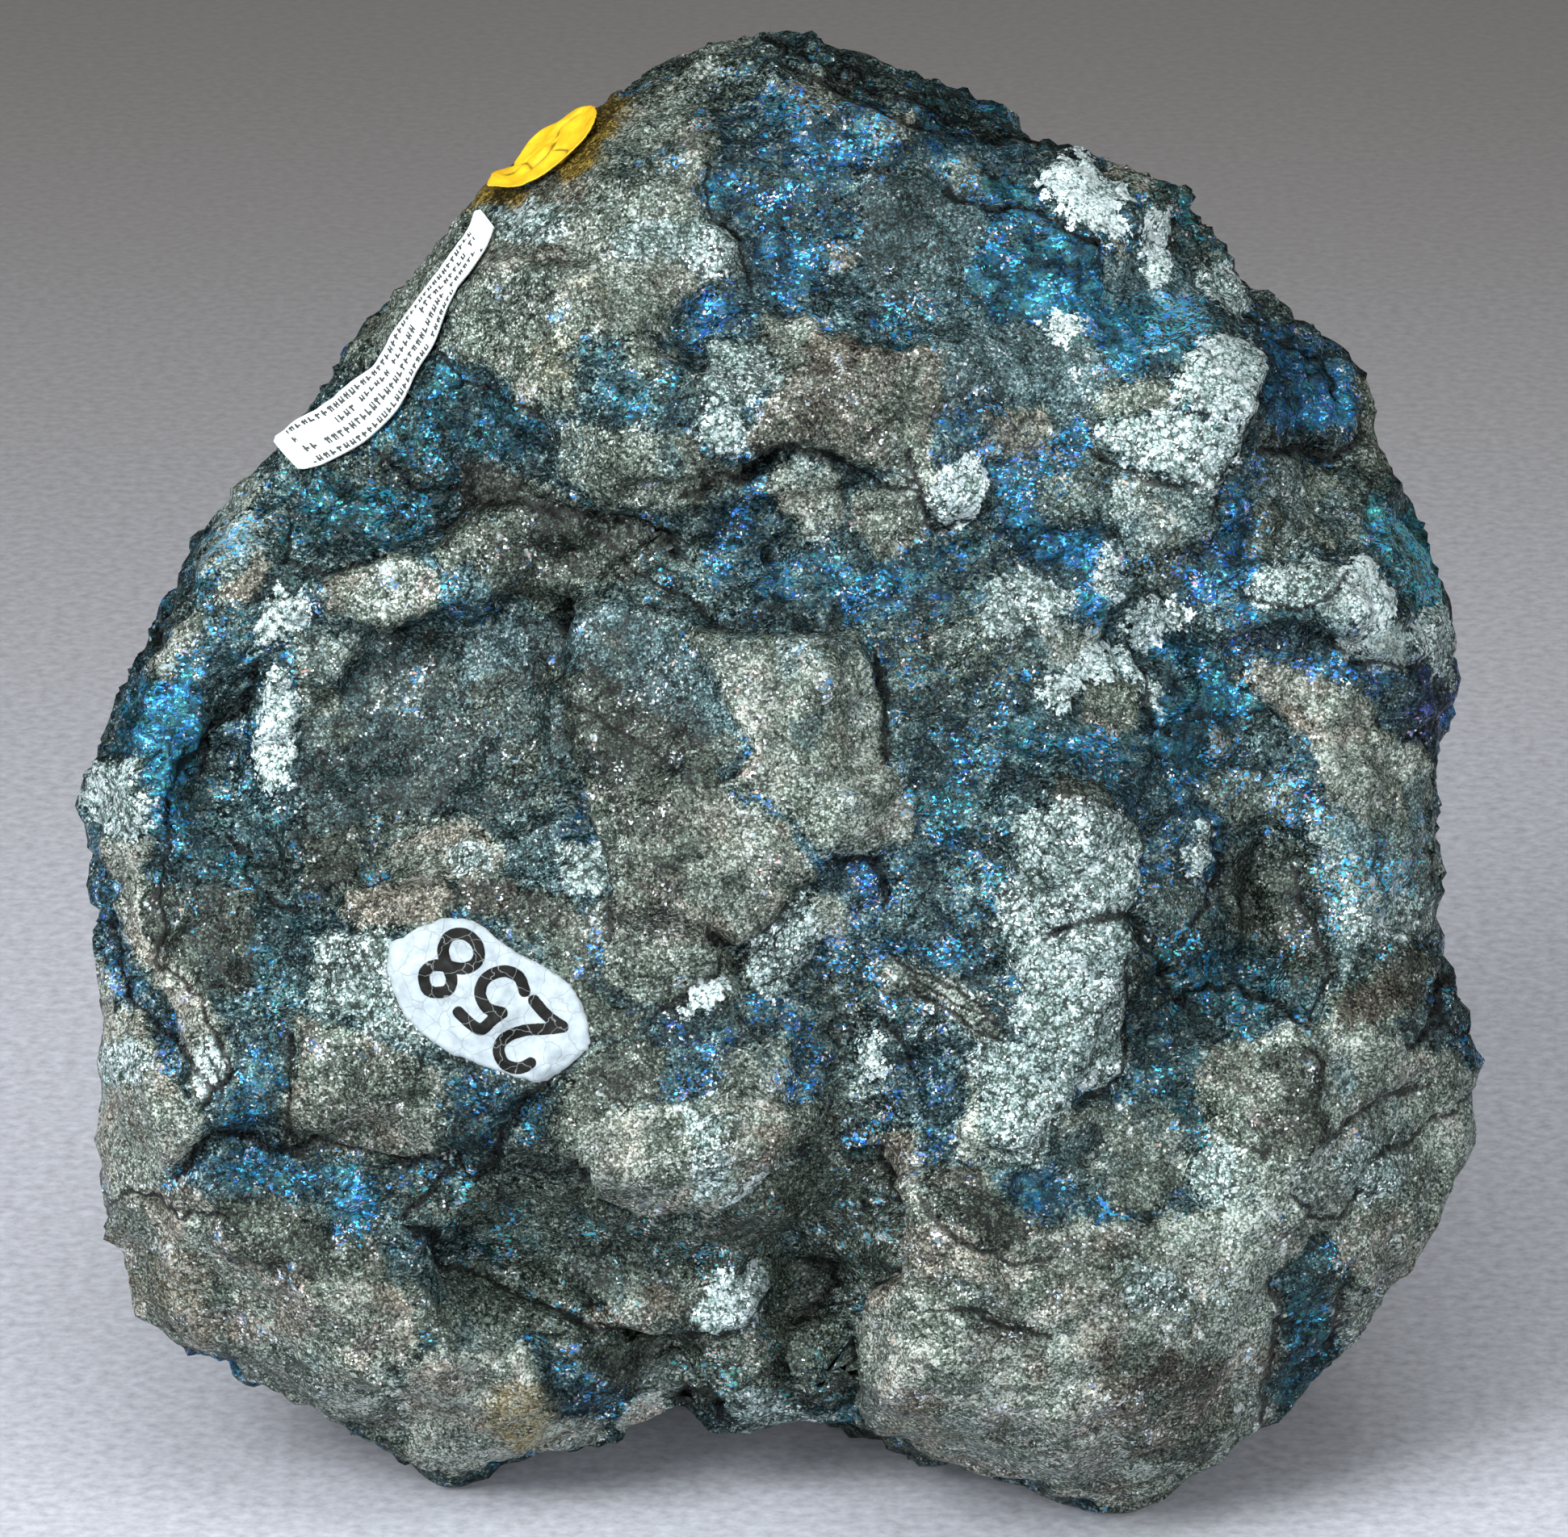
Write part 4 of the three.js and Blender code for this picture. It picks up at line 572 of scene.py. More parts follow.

# Dark lines of the surface, partly painted shade in cracks and under ledges, each with how wide
# it opens, from about 0.5 to 3, and its path.
DARK_LINES = {
    "crown": (1, [11.2, 34.8, 13, 34.2, 15.5, 34.1, 16.5, 33.8, 18, 32.5, 19.2, 31.8]),
    "shoulder_side": (1, [29.5, 24.8, 29.8, 22.5, 28.5, 20.2, 27.5, 18.2, 27, 16]),
    "shoulder_under": (0.7, [19.8, 18.5, 22.5, 17, 24, 16.8, 26, 16.6]),
    "knob_left": (1, [8.2, 18.2, 8.8, 16.2, 9.2, 14.5, 10.2, 14, 11, 14.5]),
    "brow_under": (1, [-5.2, 16.1, -4.5, 16.2, -1.5, 17.2, -0.2, 18.2, 1.2, 19, 3.5, 18.1, 6, 17, 8.5, 16.5]),
    "brow_slit": (2.6, [-1.6, 17.2, -0.4, 18, 1.1, 18.9]),
    "right_shelf": (1.2, [30.5, 19, 32.2, 19.5, 34.8, 19, 36, 20]),
    "right_oval": (0.6, [34.5, 11, 33.5, 10, 31.8, 9.2, 29.2, 9.8]),
    "slab_side": (1, [6.2, 6.2, 6.4, 5, 7, 4.6, 6.9, 3, 6.8, 1]),
    "navy_under": (0.9, [22.2, 6.2, 22.8, 3.5, 23.8, 2.5, 25.2, 3.8]),
    "band_under": (0.8, [34.2, 6.8, 36, 5.8, 38.2, 5.8, 39.8, 6.2]),
    "tooth_under": (0.9, [39.6, 1.6, 41, 2.2, 42.1, 3]),
    "slope_low": (0.8, [1, 42.8, 4.8, 40.8, 9, 39.2, 14.5, 38.5]),
    "slope_high": (0.7, [0, 44.2, 5, 42.2, 10.5, 40.2, 16, 38.8]),
    "slope_mid": (0.6, [4, 43.4, 8, 41.6, 13, 40.2, 17, 39]),
    "right_fold": (0.9, [29.8, 27.2, 32.2, 26, 34, 25.2, 34.5, 23.2]),
    "hollow_side": (1.2, [-30, 15.5, -29.8, 14.5, -30, 12.5, -28.5, 11.8, -26, 12.1, -24, 13]),
    "rim_facets": (1.6, [-37.8, 10.6, -38.2, 9.2, -38.5, 7.5]),
    "long_seam": (1.1, [
        -20, 15.5, -18.5, 16.2, -16, 16.1, -13.8, 15.2, -11.8, 14.8, -9, 14.6, -7.8, 13.8, -6, 12.8,
    ]),
    "long_branch": (0.8, [-11.8, 14.8, -10.8, 13.5, -8.2, 11.8, -5, 9.8, -3, 8.2]),
    "wall_pod": (2, [-12.5, 9.2, -12.8, 7.4, -13.3, 6.4]),
    "wall_high": (1, [-13.4, 6.2, -13, 4.8, -12.7, 2.8, -12.5, 0.2, -11.8, -1.2]),
    "wall_low": (1.1, [-11.8, -1.2, -11, -3, -10, -5.2, -9.8, -8, -10, -10]),
    "slab_streak": (0.7, [-12.8, 4.2, -10, 2.2, -6.5, 0]),
    "bowl_corner": (1.6, [-32, 5.2, -32.8, 3.5, -34, 1.8, -34.8, 0]),
    "grey_edge": (0.6, [-1.5, 29.8, -2, 32.2, -3.8, 33.2, -4, 35.8]),
    "strip_edge": (0.8, [-21, 25.8, -19, 23.5, -16.2, 22.2, -14.8, 21.2]),
    "strip_low": (0.8, [-24, 18.5, -23, 17, -21, 16.2, -19.8, 16.8]),
    "slab_foot": (1.4, [2.2, -7.8, 1, -9.2, -0.5, -10.8, -1.5, -11.5, -2.8, -11.8, -3.5, -10.8]),
    "foot_branch": (0.9, [-1.5, -11.5, -3.8, -13, -5.8, -14.5, -7.5, -15.8]),
    "label_seam": (1.5, [-11.5, -17.2, -12.8, -18.8, -15, -20.2, -16, -21.8, -17, -23.8, -18, -25]),
    "left_seam": (1.3, [
        -36, -25.2, -34.2, -23.2, -33, -22.8, -30.8, -23.5, -30, -24, -27.5, -23.2, -25, -23.8, -23.5, -24.5,
        -21, -24.4, -19.5, -24.8,
    ]),
    "seam_branch": (1.1, [-19.5, -24.8, -20.5, -26, -22.2, -27.5]),
    "recess_slot": (2, [-21.3, -28.8, -20.3, -29.2, -20, -30.2]),
    "recess_lip": (1, [-20, -30.5, -18, -31.2, -16.2, -32.2, -14, -33.2, -11.8, -33]),
    "chip_under": (1.6, [-12.8, -33.6, -10, -34.9, -7, -35.6, -5, -35.2]),
    "pebble_under": (1, [-4.8, -34.6, -3.4, -35.4, -1.6, -34.4, -0.4, -32.4]),
    "stripe": (0.9, [-40.6, -10.2, -40, -13.8, -38.5, -15.8, -36.8, -17, -35, -18.8, -34, -20.2]),
    "ridge_inner": (1, [-37.8, -12.2, -35.5, -13.8, -35, -15.2, -33.8, -17.2, -33.2, -19.2, -34.2, -20.5]),
    "rim_fold": (0.9, [-36.2, 0.2, -36.8, -2.2, -37.2, -4.8, -37.8, -8, -37.5, -11]),
    "bowl_fold": (1, [-33.2, -4.8, -32, -7.2, -31, -8.5, -29.8, -8.8]),
    "below_number": (0.8, [-29.4, -17.2, -29.5, -21, -30, -23.8]),
    "lump_under": (1, [-11.8, -25.8, -10, -26.8, -8, -27.5, -6, -26.9, -3.5, -27, -1.5, -25.8, -0.2, -25]),
    "lobe_top": (0.7, [-40.5, -26.8, -39.2, -26.2, -37.5, -26.5, -36.2, -27.8, -33, -27.5]),
    "foot_black": (2, [-5.5, -39.4, -4.2, -38.8, -3.6, -40]),
    "pit_spot": (1.4, [4, -6, 5.4, -5.9, 6.7, -6.2, 6.7, -8]),
    "groove": (0.9, [6.5, -15.8, 7.5, -16.8, 8, -17.8]),
    "side_top": (0.8, [7.2, -12, 9.2, -12.8, 11.5, -14, 13.5, -15.5]),
    "side_low": (0.7, [8.2, -13.2, 9.8, -14.8, 11.5, -16, 13.2, -16.5]),
    "arch": (1.1, [17, -10.5, 18.5, -9.6, 20.2, -9.1, 22.2, -9.8, 23.2, -10.5]),
    "column_side": (1, [21, -12.2, 21.5, -14.8, 21.5, -17.2, 21, -19.2, 19.8, -20.2]),
    "ledge_a": (0.9, [21.8, -11, 23.5, -12.2, 24.5, -13.8, 25.5, -14.8]),
    "ledge_b": (1, [26, -14, 28.5, -13.2, 30.5, -14.5, 32, -15.8]),
    "flake_edge": (0.9, [26.2, -3.2, 27.2, -4.8, 27.5, -6.8, 25.5, -9.5]),
    "glass_wall": (0.7, [31.8, -7.2, 32.8, -9.8, 33.8, -12.2, 33, -14.8]),
    "right_seam": (1.2, [38.5, -17, 39.8, -16.2, 40.5, -14.8, 41, -13.8]),
    "right_split": (0.8, [39.8, -16.2, 41.5, -16, 43, -16.8]),
    "right_step": (1, [33.8, -22.8, 35.5, -21.5, 37.5, -20.5, 39.5, -19.8]),
    "right_layer": (0.7, [37.5, -24, 40, -22.8, 42.5, -21]),
    "lobe_join": (0.9, [32, -26.8, 33, -28, 34.5, -28, 35.5, -27]),
    "lobe_wall": (1.2, [
        6.2, -23.8, 6.8, -26, 7.2, -28.5, 7.5, -30.2, 6.2, -31.5, 4.8, -33.2, 4.5, -35.2, 5, -38.5,
        5.8, -40.8,
    ]),
    "lobe_line": (0.9, [9.5, -26.8, 11, -28.8, 13, -29.2, 14.5, -30.2, 16, -30]),
    "lobe_band": (0.7, [10.2, -33.2, 12.5, -33.2, 14, -34, 16, -34.8]),
    "pit_side": (1, [30.8, -32, 31.2, -33.5, 30.8, -35.5, 30.2, -37.8, 30, -39.8]),
    "pit_deep": (1.4, [34.8, -33, 35.2, -34, 34.5, -35.8]),
    "recess_pod": (1.6, [2.2, -31, 3.2, -30.8, 3, -33, 1.8, -34]),
}

# Sharp ledges: the side to the left of the path, as walked, stands up by the height in mm, and the
# rise dies away over the reach.
LEDGES = {
    "bowl_wall": ([-12.2, 9, -13.1, 5, -12.5, 1, -11, -4, -9.8, -8], 1.2, 5),
    "brow": ([-9, 16.3, -3, 17, -1, 17.8, 1.5, 19], 1, 3),
    "slab_head": ([6, 5.5, 5, 7.2, -4.5, 7.6], 0.9, 4),
    "slab_left": ([-4.5, 7.2, -3, 4, -1.2, 1.4, -2.6, -0.6], 0.8, 4),
    "slab_foot": ([-3.5, -11.8, -2.5, -12, 0, -10.3, 2, -7.8], 0.9, 4),
    "label_shelf": ([-33.5, -22.8, -30, -23.5, -27, -23, -23.5, -24.2, -18.5, -23.8], 1, 4),
    "lump": ([-13.5, -22.8, -11, -25.8, -8.5, -27.8, -3, -27.2, -0.5, -25.2, 2, -22.8], 1.1, 4),
    "lobe": ([7.8, -26.8, 7.5, -30.8, 6, -31.3, 4.5, -34, 5, -39.8], 1.2, 5),
    "column": ([19.2, -17.2, 20.5, -12.8, 22, -11.2, 21.2, -9.8, 22, -3], 1.1, 4),
    "shoulder": ([27, 16.2, 28, 19.2, 29.5, 22.2, 29.2, 25.8], 1.2, 5),
    "upper_left": ([-7, 27, -3, 29, -2.4, 32, -4, 37], 0.6, 4),
    "hollow_lip": ([-28, 8.8, -24, 8.6, -20.5, 9.8], 0.9, 3),
    "step_foot": ([12, -22.8, 15, -23.4, 17.8, -20], 0.8, 3),
    "right_step": ([33.5, -23, 37, -20.2, 39, -18.8, 42, -13.5], 0.9, 4),
    "pebble": ([-4.6, -34.6, -3, -35.2, -1, -33.6, -0.2, -31.4], 0.9, 2),
    "chip": ([-11.6, -34.6, -8, -35.3, -5.2, -34.8], 0.8, 2),
}


# ---------------------------------------------------------------- rock noise, worked on many points
FAR = 9.0  # farther than any cell middle, in cells, and than any mark that matters, in mm
ENDLESS = 1e9  # farther than anything on the stone, mm
PLANE_REACH = 0.16  # how far facets are levelled, as a share of their size
BORDER_FADE = 0.12  # how soon they are level beside their border, likewise
OCTAVES = ((1, 1), (0.5, 2.1), (0.25, 4.3))  # of rough noise: each one's weight and how much finer it is


def chance(cells, seed):
    """A repeatable number from 0 to 1 for each whole-number place."""
    bits = cells.astype(np.uint64)
    mixed = (bits[..., 0] * np.uint64(73856093)) ^ (bits[..., 1] * np.uint64(19349663))
    mixed ^= (bits[..., 2] * np.uint64(83492791)) ^ np.uint64(seed * 2654435761 % 2**32)
    mixed &= np.uint64(0xFFFFFFFF)
    for turn, factor in ((13, 1274126177), (15, 2246822519), (16, 3266489917)):
        mixed ^= mixed >> np.uint64(turn)
        mixed = (mixed * np.uint64(factor)) & np.uint64(0xFFFFFFFF)
    mixed ^= mixed >> np.uint64(14)
    return mixed.astype(float) / 0xFFFFFFFF


def nearest_cells(points, size, seed):
    """The cell that each point is in, and the distances to the two nearest middles, in cells."""
    places = points / size
    home = np.floor(places).astype(np.int64)
    near = np.full(len(points), FAR)
    second = np.full(len(points), FAR)
    cell = np.zeros_like(home)
    for step in range(27):
        here = home + np.array([step % 3 - 1, step // 3 % 3 - 1, step // 9 - 1])
        middle = here + np.stack([chance(here, seed + axis) for axis in range(3)], 1)
        distance = np.linalg.norm(places - middle, axis=1)
        closer = distance < near
        second = np.where(closer, near, np.minimum(second, distance))
        near = np.where(closer, distance, near)
        cell[closer] = here[closer]
    return cell, near, second


def flattened(points, size, share, seed):
    """Points eased towards flat facets, one plane through each cell's own points, and each point's facet
    number from 0 to 1 and its distance to the facet's border in mm."""
    cell, near, second = nearest_cells(points, size, seed)
    _, which = np.unique(cell, axis=0, return_inverse=True)
    which = which.ravel()
    count = np.bincount(which)
    middle = np.stack([np.bincount(which, points[:, axis]) / count for axis in range(3)], 1)
    way = points - middle[which]
    spread = np.zeros((len(count), 3, 3))
    for row in range(3):
        for column in range(3):
            spread[:, row, column] = np.bincount(which, way[:, row] * way[:, column])
    _, directions = np.linalg.eigh(spread)
    normal = directions[:, :, 0][which]
    off_plane = np.clip((way * normal).sum(1), -PLANE_REACH * size, PLANE_REACH * size)
    hold = share * ease(second - near, 0, BORDER_FADE)
    return points - normal * (off_plane * hold)[:, None], chance(cell, seed + 9), (second - near) * size / 2


def terraced(value, step, riser):
    """A value cut into level steps, each with a sharp riser that takes up a share of it."""
    level = value / step
    floor = np.floor(level)
    return step * (floor + ease(level - floor, 1 - riser, 1))


def rough(points, size, seed):
    """Uneven noise of three sizes, from about -1 to 1."""
    return sum(
        weight * soft_noise(points, size / finer, seed + step) for step, (weight, finer) in enumerate(OCTAVES)
    )


def soft_noise(points, size, seed):
    """Smooth noise from -1 to 1."""
    places = points / size
    home = np.floor(places).astype(np.int64)
    part = places - home
    part = part * part * (3 - 2 * part)
    total = np.zeros(len(points))
    for corner in range(8):
        step = np.array([corner & 1, corner >> 1 & 1, corner >> 2 & 1])
        weight = np.prod(np.where(step == 1, part, 1 - part), axis=1)
        total += weight * chance(home + step, seed)
    return total * 2 - 1


def drift(points, size, seeds):
    """A direction for each point that wanders smoothly, each part from -1 to 1."""
    return np.stack([soft_noise(points, size, seed) for seed in seeds], 1)


def ease(value, low, high):
    """0 below low, 1 above high and a smooth rise between."""
    share = np.clip((value - low) / (high - low), 0, 1)
    return share * share * (3 - 2 * share)


def bell(value, width):
    """1 at 0, fading to about a third at the width and to nothing soon after."""
    return np.exp(-((value / width) ** 2))


def corners_of(row):
    """Corners from a row of numbers, u and v in turn."""
    return list(zip(row[::2], row[1::2]))


def path_distance(u, v, path):
    """Signed distance to a path, positive to its left as walked, how far a point lies past the path's ends,
    and the plain distance."""
    best = np.full(len(u), ENDLESS)
    side = np.zeros(len(u))
    beyond = np.zeros(len(u))
    for (u0, v0), (u1, v1) in zip(path, path[1:]):
        length = math.hypot(u1 - u0, v1 - v0)
        along = ((u - u0) * (u1 - u0) + (v - v0) * (v1 - v0)) / length
        across = ((u1 - u0) * (v - v0) - (v1 - v0) * (u - u0)) / length
        past = np.maximum(0, np.maximum(-along, along - length))
        distance = np.hypot(across, past)
        closer = distance < best
        best = np.where(closer, distance, best)
        side = np.where(closer, across, side)
        beyond = np.where(closer, past, beyond)
    return side, beyond, best


def patch_depth(u, v, corners):
    """How far inside a patch each point lies, and minus the distance to it outside."""
    inside = np.zeros(len(u), bool)
    nearest = np.full(len(u), ENDLESS)
    for (u0, v0), (u1, v1) in zip(corners, corners[1:] + corners[:1]):
        length = (u1 - u0) ** 2 + (v1 - v0) ** 2 + 1e-9
        share = np.clip(((u - u0) * (u1 - u0) + (v - v0) * (v1 - v0)) / length, 0, 1)
        nearest = np.minimum(nearest, np.hypot(u - u0 - share * (u1 - u0), v - v0 - share * (v1 - v0)))
        crosses = (v0 > v) != (v1 > v)
        reach = u0 + (v - v0) * (u1 - u0) / (v1 - v0 + 1e-12)
        inside ^= crosses & (u < reach)
    return np.where(inside, nearest, -nearest)


# ---------------------------------------------------------------- meshes
def to_face(points):
    """Metres in the shared frame to the face's u, v and w in mm."""
    return (np.asarray(points) / MM - np.array(FACE_CENTRE)) @ np.array(FACE_AXES)


def from_face(points):
    """The face's u, v and w in mm to metres in the shared frame."""
    return (np.asarray(points) @ np.array(FACE_AXES).T + np.array(FACE_CENTRE)) * MM


def read_rows(items, field):
    """Three numbers of each of a mesh's items, as rows."""
    values = np.empty(len(items) * 3)
    items.foreach_get(field, values)
    return values.reshape(-1, 3)


def write_points(mesh, points):
    mesh.vertices.foreach_set("co", np.asarray(points, float).ravel())
    mesh.update()


def write_values(mesh, name, values):
    """Give a mesh a named value at each point, which its finish reads."""
    attribute = mesh.attributes.new(name, "FLOAT", "POINT")
    attribute.data.foreach_set("value", np.asarray(values, np.float32))


def new_piece(name, points, faces, material):
    """A piece on the one body, with its material in a slot."""
    mesh = bpy.data.meshes.new(name)
    mesh.from_pydata([tuple(point) for point in points], [], [tuple(face) for face in faces])
    mesh.materials.append(material)
    piece = bpy.data.objects.new(name, mesh)
    bpy.context.scene.collection.objects.link(piece)
    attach(piece, "root")
    return piece


WELD = 2e-6  # corners nearer than this are one, m
LOOP_PULL = 0.375  # how far a corner moves to the mean of its neighbours when the form is rounded


def merged_triangles(node):
    """A CAD node's points and triangles, with its loose corners joined."""
    grid = bmesh.new()
    grid.from_mesh(node.data)
    bmesh.ops.remove_doubles(grid, verts=grid.verts, dist=WELD)
    bmesh.ops.triangulate(grid, faces=grid.faces)
    points = np.array([vertex.co[:] for vertex in grid.verts])
    triangles = np.array([[vertex.index for vertex in face.verts] for face in grid.faces])
    grid.free()
    return points, triangles


def split_triangles(points, triangles, rounding):
    """Each triangle split in four. rounding is how far the new form eases from flat facets to round."""
    ends = np.sort(triangles[:, [[0, 1], [1, 2], [2, 0]]].reshape(-1, 2), axis=1)
    opposite = triangles[:, [2, 0, 1]].ravel()
    edges, which = np.unique(ends, axis=0, return_inverse=True)
    which = which.ravel()
    far = np.zeros((len(edges), 3))
    np.add.at(far, which, points[opposite])
    flat = (points[edges[:, 0]] + points[edges[:, 1]]) / 2
    middles = flat + rounding * (far / 2 - flat) / 4
    total = np.zeros_like(points)
    count = np.zeros(len(points))
    for start, end in ((0, 1), (1, 0)):
        np.add.at(total, edges[:, start], points[edges[:, end]])
        np.add.at(count, edges[:, start], 1)
    corners = points + LOOP_PULL * rounding * (total / count[:, None] - points)
    first = len(points)
    ab, bc, ca = (first + which.reshape(-1, 3)).T
    a, b, c = triangles.T
    quarters = [(a, ab, ca), (ab, b, bc), (ca, bc, c), (ab, bc, ca)]
    return np.vstack([corners, middles]), np.concatenate([np.stack(q, 1) for q in quarters])


# ---------------------------------------------------------------- what the stone's surface carries
OFF_FACE = 6  # depth by which the face's patches and the others keep out of each other, mm
PLAIN_HUE = 0.4  # of the tarnish outside its zones
ZONE_EDGE = 1.2  # half the width over which a tarnished zone fades, mm
SHADE_EDGE = 0.9  # the same for a dark hollow
CLAST_SIZE = 8.5  # size of the patches away from the face, mm
SILVER_SHARE = 0.17  # chance below which they are silver
ROCK_SHARE = 0.7  # chance below which the others are grey
CHIP_SIZE = 2.8  # size of the small inclusions, mm
PALE_CHIP = (0.2, 0.36)  # chance below which they are pale, and by how much
DARK_CHIP = (0.78, -0.42)  # chance above which they are dark, and by how much


def strongest_patch(u, v, patches):
    """For each point the depth inside the topmost patch, and that patch's own values."""
    depth = np.full(len(u), -FAR)
    own = np.zeros((len(u), len(next(iter(patches.values()))) - 1))
    for *values, row in patches.values():
        here = patch_depth(u, v, corners_of(row))
        over = (here > 0) | (here > depth)
        own[over] = values
        depth = np.maximum(depth, here)
    return np.maximum(depth, -4), own.T


def soft_zone(u, v, zones, edge):
    """How strongly a zone shows at each point, fading over its edge, and the strongest zone's first value."""
    strength = np.zeros(len(u))
    hue = np.full(len(u), PLAIN_HUE)
    for *values, row in zones.values():
        here = ease(patch_depth(u, v, corners_of(row)), -edge, edge) * values[-1]
        hue = np.where(here > strength, values[0], hue)
        strength = np.maximum(strength, here)
    return strength, hue


def mineral_fields(points):
    """Where each mineral and tint shows, on the face from the named patches and elsewhere by chance."""
    u = points[:, 0] + 0.5 * soft_noise(points, 2.6, 66) + 0.35 * soft_noise(points, 1.1, 61)
    v = points[:, 1] + 0.5 * soft_noise(points, 2.6, 67) + 0.35 * soft_noise(points, 1.1, 63)
    w = points[:, 2] + 1.5 * soft_noise(points, 4, 65)
    face = 1 - ease(-w, 0.5, 4.5)
    side = 1 - face
    silver, (shine,) = strongest_patch(u, v, SILVER_PATCHES)
    grey, (tone, light) = strongest_patch(u, v, GREY_PATCHES)
    blue, hue = soft_zone(u, v, BLUE_ZONES, ZONE_EDGE)
    dark, _ = soft_zone(u, v, DARK_ZONES, SHADE_EDGE)
    places = np.stack([u, v, w], 1)
    cell, near, second = nearest_cells(places + 1.2 * drift(points, 4, (68, 69, 70)), CLAST_SIZE, 71)
    inside = (second - near) * CLAST_SIZE / 2 - 0.7
    outside = -np.abs(inside) - 0.5
    kind = chance(cell, 77)
    silver_there = np.where(kind < SILVER_SHARE, inside, outside)
    grey_there = np.where((kind > SILVER_SHARE) & (kind < ROCK_SHARE), inside + 0.6, outside)
    blue_there = 0.95 * ease(soft_noise(points, 13, 81), -0.15, 0.5)
    hue_there = 0.42 + 0.35 * soft_noise(points, 18, 82)
    dark_there = 0.6 * ease(soft_noise(points, 11, 83), 0.15, 0.8)
    grey = np.maximum(grey - OFF_FACE * side, grey_there - OFF_FACE * face)
    tone = tone * face + (1.5 * chance(cell, 79) - 0.5) * side
    light = light * face + (0.8 * chance(cell, 80) - 0.4) * side
    chip, near, second = nearest_cells(places, CHIP_SIZE, 72)
    in_chip = ease((second - near) * CHIP_SIZE / 2, 0.05, 0.3)
    chip_kind = chance(chip, 73)
    dark_chip = np.where(chip_kind > DARK_CHIP[0], DARK_CHIP[1], 0)
    light = light + in_chip * np.where(chip_kind < PALE_CHIP[0], PALE_CHIP[1], dark_chip)
    tone = tone + in_chip * (chance(chip, 74) - 0.5)
    ground = ease(-grey, -0.1, 0.1)
    blue = np.maximum(blue, ground * (0.4 + 0.3 * soft_noise(points, 5, 86)))
    return {
        "silver": np.maximum(silver - OFF_FACE * side, silver_there - OFF_FACE * face),
        "shine": shine * face + (0.3 + 0.6 * chance(cell, 78)) * side,
        "grey": grey,
        "tone": tone * (1 - ground) + (0.6 * soft_noise(points, 6, 84) - 0.4) * ground,
        "light": light * (1 - ground) + (0.25 * soft_noise(points, 2.6, 85) - 0.42) * ground,
        "blue": blue * face + blue_there * side,
        "hue": hue * face + hue_there * side,
        "dark": dark * face + dark_there * side,
    }


# Fine relief, in mm.
LEDGE_EDGE = 0.26  # half the width of a ledge's step
LEDGE_END = 1.5  # how soon it dies out past its path
LINE_DEPTH = 0.35  # of a dark line that opens fully
LINE_WIDTH = 0.4
HOLLOW_DEPTH = 0.6  # of a dark zone
PIT_DEPTH = 0.35
PIT_SPACING = 2.6
PIT_SHARE = 0.2  # of the places that have a pit
TERRACE_STEP = 0.55  # of the broken leaves
TERRACE_RISER = 0.25  # share of a step
SILVER_STAND = 0.2  # how far silver stands out of the rock
GREY_STAND = 0.1
STAND_EDGE = (-0.2, 0.4)  # from where to where inside a patch it rises
SLANTED = np.array([[1.0, 0.3, 0], [-0.7, 1.9, 0.3], [0, 0.3, 1.3]]).T  # squeezes noise into slanting leaves


def fine_relief(points, fields):
    """Height, in mm, that the fine surface adds to the solid: ledges, cracks, broken facets and grain."""
    u, v, w = points.T
    wavy_u = u + 0.35 * soft_noise(points, 2.2, 91)
    wavy_v = v + 0.35 * soft_noise(points, 2.2, 92)
    on_face = ease(w, -1, 2)
    height = np.zeros(len(points))
    for row, rise, reach in LEDGES.values():
        side, past, _ = path_distance(wavy_u, wavy_v, corners_of(row))
        raised = ease(side, -LEDGE_EDGE, LEDGE_EDGE) * np.exp(-np.abs(side) / reach - (past / LEDGE_END) ** 2)
        height += rise * raised * on_face
    for row, width, depth in CRACKS.values():
        _, _, distance = path_distance(wavy_u, wavy_v, corners_of(row))
        height -= depth * bell(distance, width) * on_face
    signed, opening = dark_lines(points)
    height -= LINE_DEPTH * opening * bell(signed, LINE_WIDTH)
    solid_rock = ease(np.maximum(fields["silver"], fields["grey"]), -0.3, 0.3)
    leaves = points @ SLANTED
    ground = 1 - 0.75 * solid_rock
    height += 0.22 * rough(points, 2.6, 151)
    lie = 1.1 * rough(leaves, 7.0, 161) + 0.4 * rough(leaves, 2.6, 164)
    height += (terraced(lie, TERRACE_STEP, TERRACE_RISER) - 0.4 * lie) * (0.25 + 0.75 * ground)
    height += 0.2 * rough(leaves, 1.3, 171) * ground + 0.2 * rough(points, 1.0, 181)
    stand = SILVER_STAND * ease(fields["silver"], *STAND_EDGE)
    stand += GREY_STAND * ease(fields["grey"], *STAND_EDGE)
    return height + stand - HOLLOW_DEPTH * fields["dark"]


def dark_lines(points):
    """The signed distance to the nearest dark line in mm, and how wide that line opens there."""
    u = points[:, 0] + 0.4 * soft_noise(points, 1.7, 95)
    v = points[:, 1] + 0.4 * soft_noise(points, 1.7, 96)
    nearest = np.full(len(points), FAR)
    signed = np.full(len(points), FAR)
    opening = np.zeros(len(points))
    for width, row in DARK_LINES.values():
        side, _, distance = path_distance(u, v, corners_of(row))
        closer = distance < nearest
        nearest = np.where(closer, distance, nearest)
        signed = np.where(closer, side, signed)
        opening = np.where(closer, width, opening)
    opening *= (1 - ease(nearest, 0.5, 1.0)) * ease(points[:, 2], -1, 2)
    return np.clip(signed, -2, 2), opening


